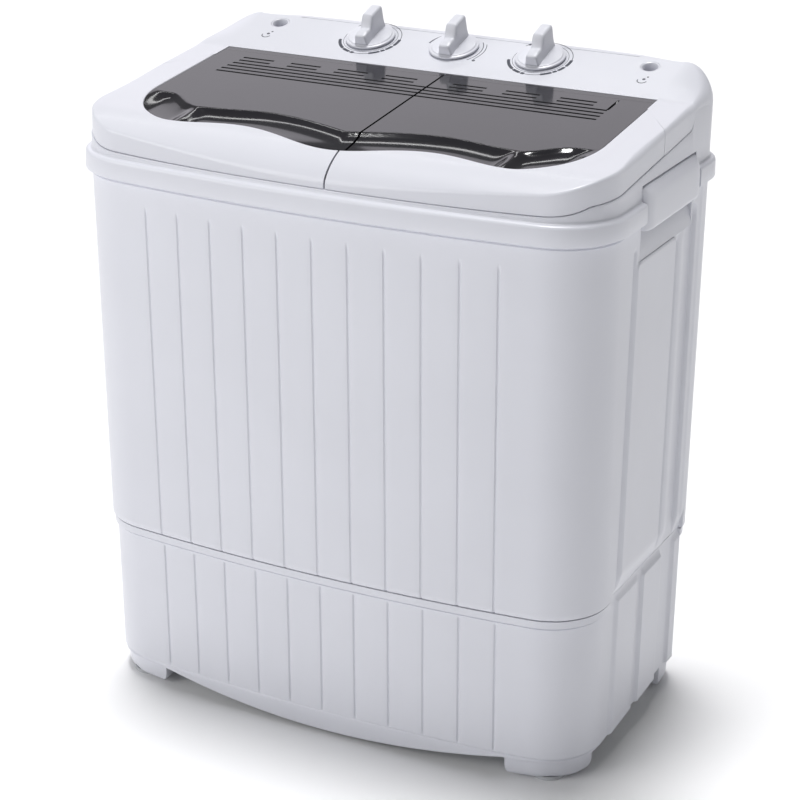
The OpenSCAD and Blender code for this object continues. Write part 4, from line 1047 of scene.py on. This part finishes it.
# The two rear rows are dashes and the others run through; -1 is the wash lid and 1 the spin lid
LOUVRE_DASHES = {
    -1: ((5.5, 42), (63.5, 99), (120, 155.5), (177, 214)),
    1: ((36, 73.5), (95.6, 133), (155.6, 195))}
LOUVRE_ENDS = {-1: (214, 214, 216.3, 217.8, 219.5, 220.3), 1: (195, 195, 213.4, 213.4, 213.4, 213.4)}
END_SLOT = (212.2, 214.6, 45.0, 66.0)


def louvre_rows():
    return [LOUVRE_BACK_Y - k * LOUVRE_PITCH for k in range(LOUVRE_COUNT)]


def louvre_spans(k, side):
    """Where a slot row is cut, measured out from the middle."""
    return LOUVRE_DASHES[side] if k < 2 else ((-15, LOUVRE_ENDS[side][k]),)


def louvre_depth(x, y, side):
    if side > 0 and END_SLOT[0] <= x <= END_SLOT[1] and END_SLOT[2] <= y <= END_SLOT[3]:
        return LOUVRE_DEPTH
    k = round((LOUVRE_BACK_Y - y) / LOUVRE_PITCH)
    if not 0 <= k < LOUVRE_COUNT or abs(y - LOUVRE_BACK_Y + k * LOUVRE_PITCH) > LOUVRE_HALF:
        return 0.0
    return LOUVRE_DEPTH if any(start <= x <= end for start, end in louvre_spans(k, side)) else 0.0


# Slope of the scoop's floor as it runs forward from its upper edge: start, end, slope at each
SCOOP_SLOPES = (
    (0, 4, 0.85, 0.6), (4, 7, 0.6, 0.31), (7, 11, 0.31, 0.23), (11, 20, 0.23, 0.05), (20, 41, 0.05, -0.1))
SCOOP_RUN = 41.0


def scoop_depth(x, y):
    """How far the finger scoop sinks below the lid: a rounded lip, a steep wall and a curved trough."""
    front, back = window_front(x), scoop_top(x)
    s = (y - front) / (back - front)
    if s >= 1:
        return 0.0
    run = (1 - s) * min(SCOOP_RUN, back - front)
    depth = 0.0
    for start, end, steep, shallow in SCOOP_SLOPES:
        length = clamp(run - start, 0.0, end - start)
        depth += length * (steep + (shallow - steep) * length / (end - start) / 2)
    bridge = 0.75 * math.exp(-((abs(x) - 178) / 8) ** 2)
    return depth * (1 - bridge) * (1 - smooth(226, 248, abs(x)))


def build_lid_window(name, x0, side, node, body):
    reach = side * x0
    xs = set(steps(reach + 0.2, WINDOW_X - 0.6, 96))
    for k in range(LOUVRE_COUNT):
        for span in louvre_spans(k, side):
            for edge in span:
                xs.update((edge - 0.25, edge + 0.25))
    if side > 0:
        xs.update(edge + step for edge in END_SLOT[:2] for step in (-0.2, 0.2))
    xs = sorted(x for x in xs if reach + 0.15 <= x <= WINDOW_X - 0.55)
    fixed = set(steps(WIN_SIDE_Y + 8, WINDOW_BACK_Y, 24))
    for y in louvre_rows():
        low, high = y - LOUVRE_HALF, y + LOUVRE_HALF
        fixed.update((low - 0.3, low + 0.05, high - 0.05, high + 0.3))
    fixed = sorted(fixed)
    rows = []
    for x in xs:
        front = window_front(x) + 0.1
        line = [lerp(front, WIN_SIDE_Y + 8, t) for t in steps(0, 1, 56)[:-1]] + fixed
        rows.append([(side * x, y, lid_top(y) - 0.35 - scoop_depth(x, y) - louvre_depth(x, y, side))
                     for y in line])
    verts, faces = grid_solid(rows, LID_T)
    parts = [(verts, faces)]
    barrel = []
    for x in (reach + 2, WINDOW_X - 1.5):
        barrel.append([(side * x, BARREL_Y + y, BARREL_Z + z) for y, z in ring_points(BARREL_R, 32)])
    parts.append(sweep(barrel, False))
    verts, faces = merge(parts)

    # Faces inside a louvre slot take the near-black slot material, painted shade in the recesses.
    def in_slot(centre):
        cut = louvre_depth(side * centre.x, centre.y, side) > 0
        return int(cut and centre.z > lid_z(centre.y) - 3.1)

    window = finish_mesh(name, verts, faces, body, SMOKE, 30, [SMOKE_SLOT_SHADE], in_slot)
    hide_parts(node)


for lid, seam_x, hand in (("wash_lid", LID_SEAM_X - 1, -1), ("spin_lid", LID_SEAM_X + 1, 1)):
    build_lid_frame(lid + "_surround", seam_x, hand, lid + "_frame", lid)
    build_lid_window(lid + "_pane", seam_x, hand, lid + "_window", lid)

# ---------------------------------------------------------------- carry handles

# Hooded section of a grip, and the plate that closes each end: out from the side, height
HOOK = [(-3.4, 544.9), (-4.6, 553), (-9, 568), (-14, 580), (-14.8, 600), (-13, 611), (-8, 617),
        (-2, 619.6), (3.5, 617.5), (7.8, 610), (9, 600), (9, 584), (8.6, 576.5), (6.4, 576), (5.8, 582),
        (5.6, 598), (3, 607), (-4, 611.5), (-9, 608), (-11.4, 600), (-10.6, 582), (-6, 569), (-2.2, 557),
        (0.0, 544.9)]
HOOK_END = [(-0.4, 545.3), (-3.2, 545.3), (-13.8, 575), (-14.5, 605), (-11, 614), (-6, 618), (-2, 618),
            (-0.6, 610)]
HOOK_FADE = 16


def build_handle(name, side, node):
    """A hooded grip that swells out of the side and fades towards both ends."""
    profile = ease(HOOK, 2)
    columns = []
    span = HANDLE_Y[1] - HANDLE_Y[0] - 0.6
    for t in steps(0, 1, 60):
        y = HANDLE_Y[0] + 0.3 + span * t
        d = min(t, 1 - t) * span
        bulge = math.sqrt(1 - clamp((HOOK_FADE - d) / HOOK_FADE) ** 2)
        column = []
        for o, z in profile:
            out = o * lerp(0.12, 1, bulge) if o > 0 else o
            drop = 2.5 * (1 - bulge) if z > 600 and o > -6 else 0
            column.append((side * (HALF_W + out), y, z - drop))
        columns.append(column)
    parts = [sweep(columns, False)]
    for y in (HANDLE_Y[0] + 0.3, HANDLE_Y[1] - 3.3):
        plate = [[(side * (HALF_W + o), y + step, z) for o, z in HOOK_END] for step in (0, WALL)]
        parts.append(sweep(plate, False))
    verts, faces = merge(parts)
    handle = finish_mesh(name, verts, faces, "cabinet", WHITE)
    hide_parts(node)


build_handle("right_grip", 1, "carry_handle_right")
build_handle("left_grip", -1, "carry_handle_left")

# ---------------------------------------------------------------- floor and light

floor = bpy.data.meshes.new("floor")
floor.from_pydata([(-30, -30, 0), (30, -30, 0), (30, 30, 0), (-30, 30, 0)], [], [(0, 1, 2, 3)])
floor.materials.append(surface("floor_white", (0.97, 0.97, 0.972), 0.6, vary=0.004, grain=40, bump=0.02))
floor_object = bpy.data.objects.new("floor", floor)
bpy.context.scene.collection.objects.link(floor_object)

add_world(0.20)
add_overhead(0.74, 16)
add_light("key", (-2.4, -3.1, 1.9), (0, 0, 0.4), (2.6, 2.2), 3.3)
add_light("side", (3.4, 2.6, 1.2), (0.2, 0, 0.4), (1.8, 1.8), 0.5)
add_light("rear", (-2.4, 4.9, 2.55), (0, 0, 0.67), (5.6, 2.8), 0.92, (0.96, 0.92, 1.0))
add_light("strip", (-1.5, 1.85, 3.27), (0, -0.12, 0.65), (2.6, 0.2), 6)
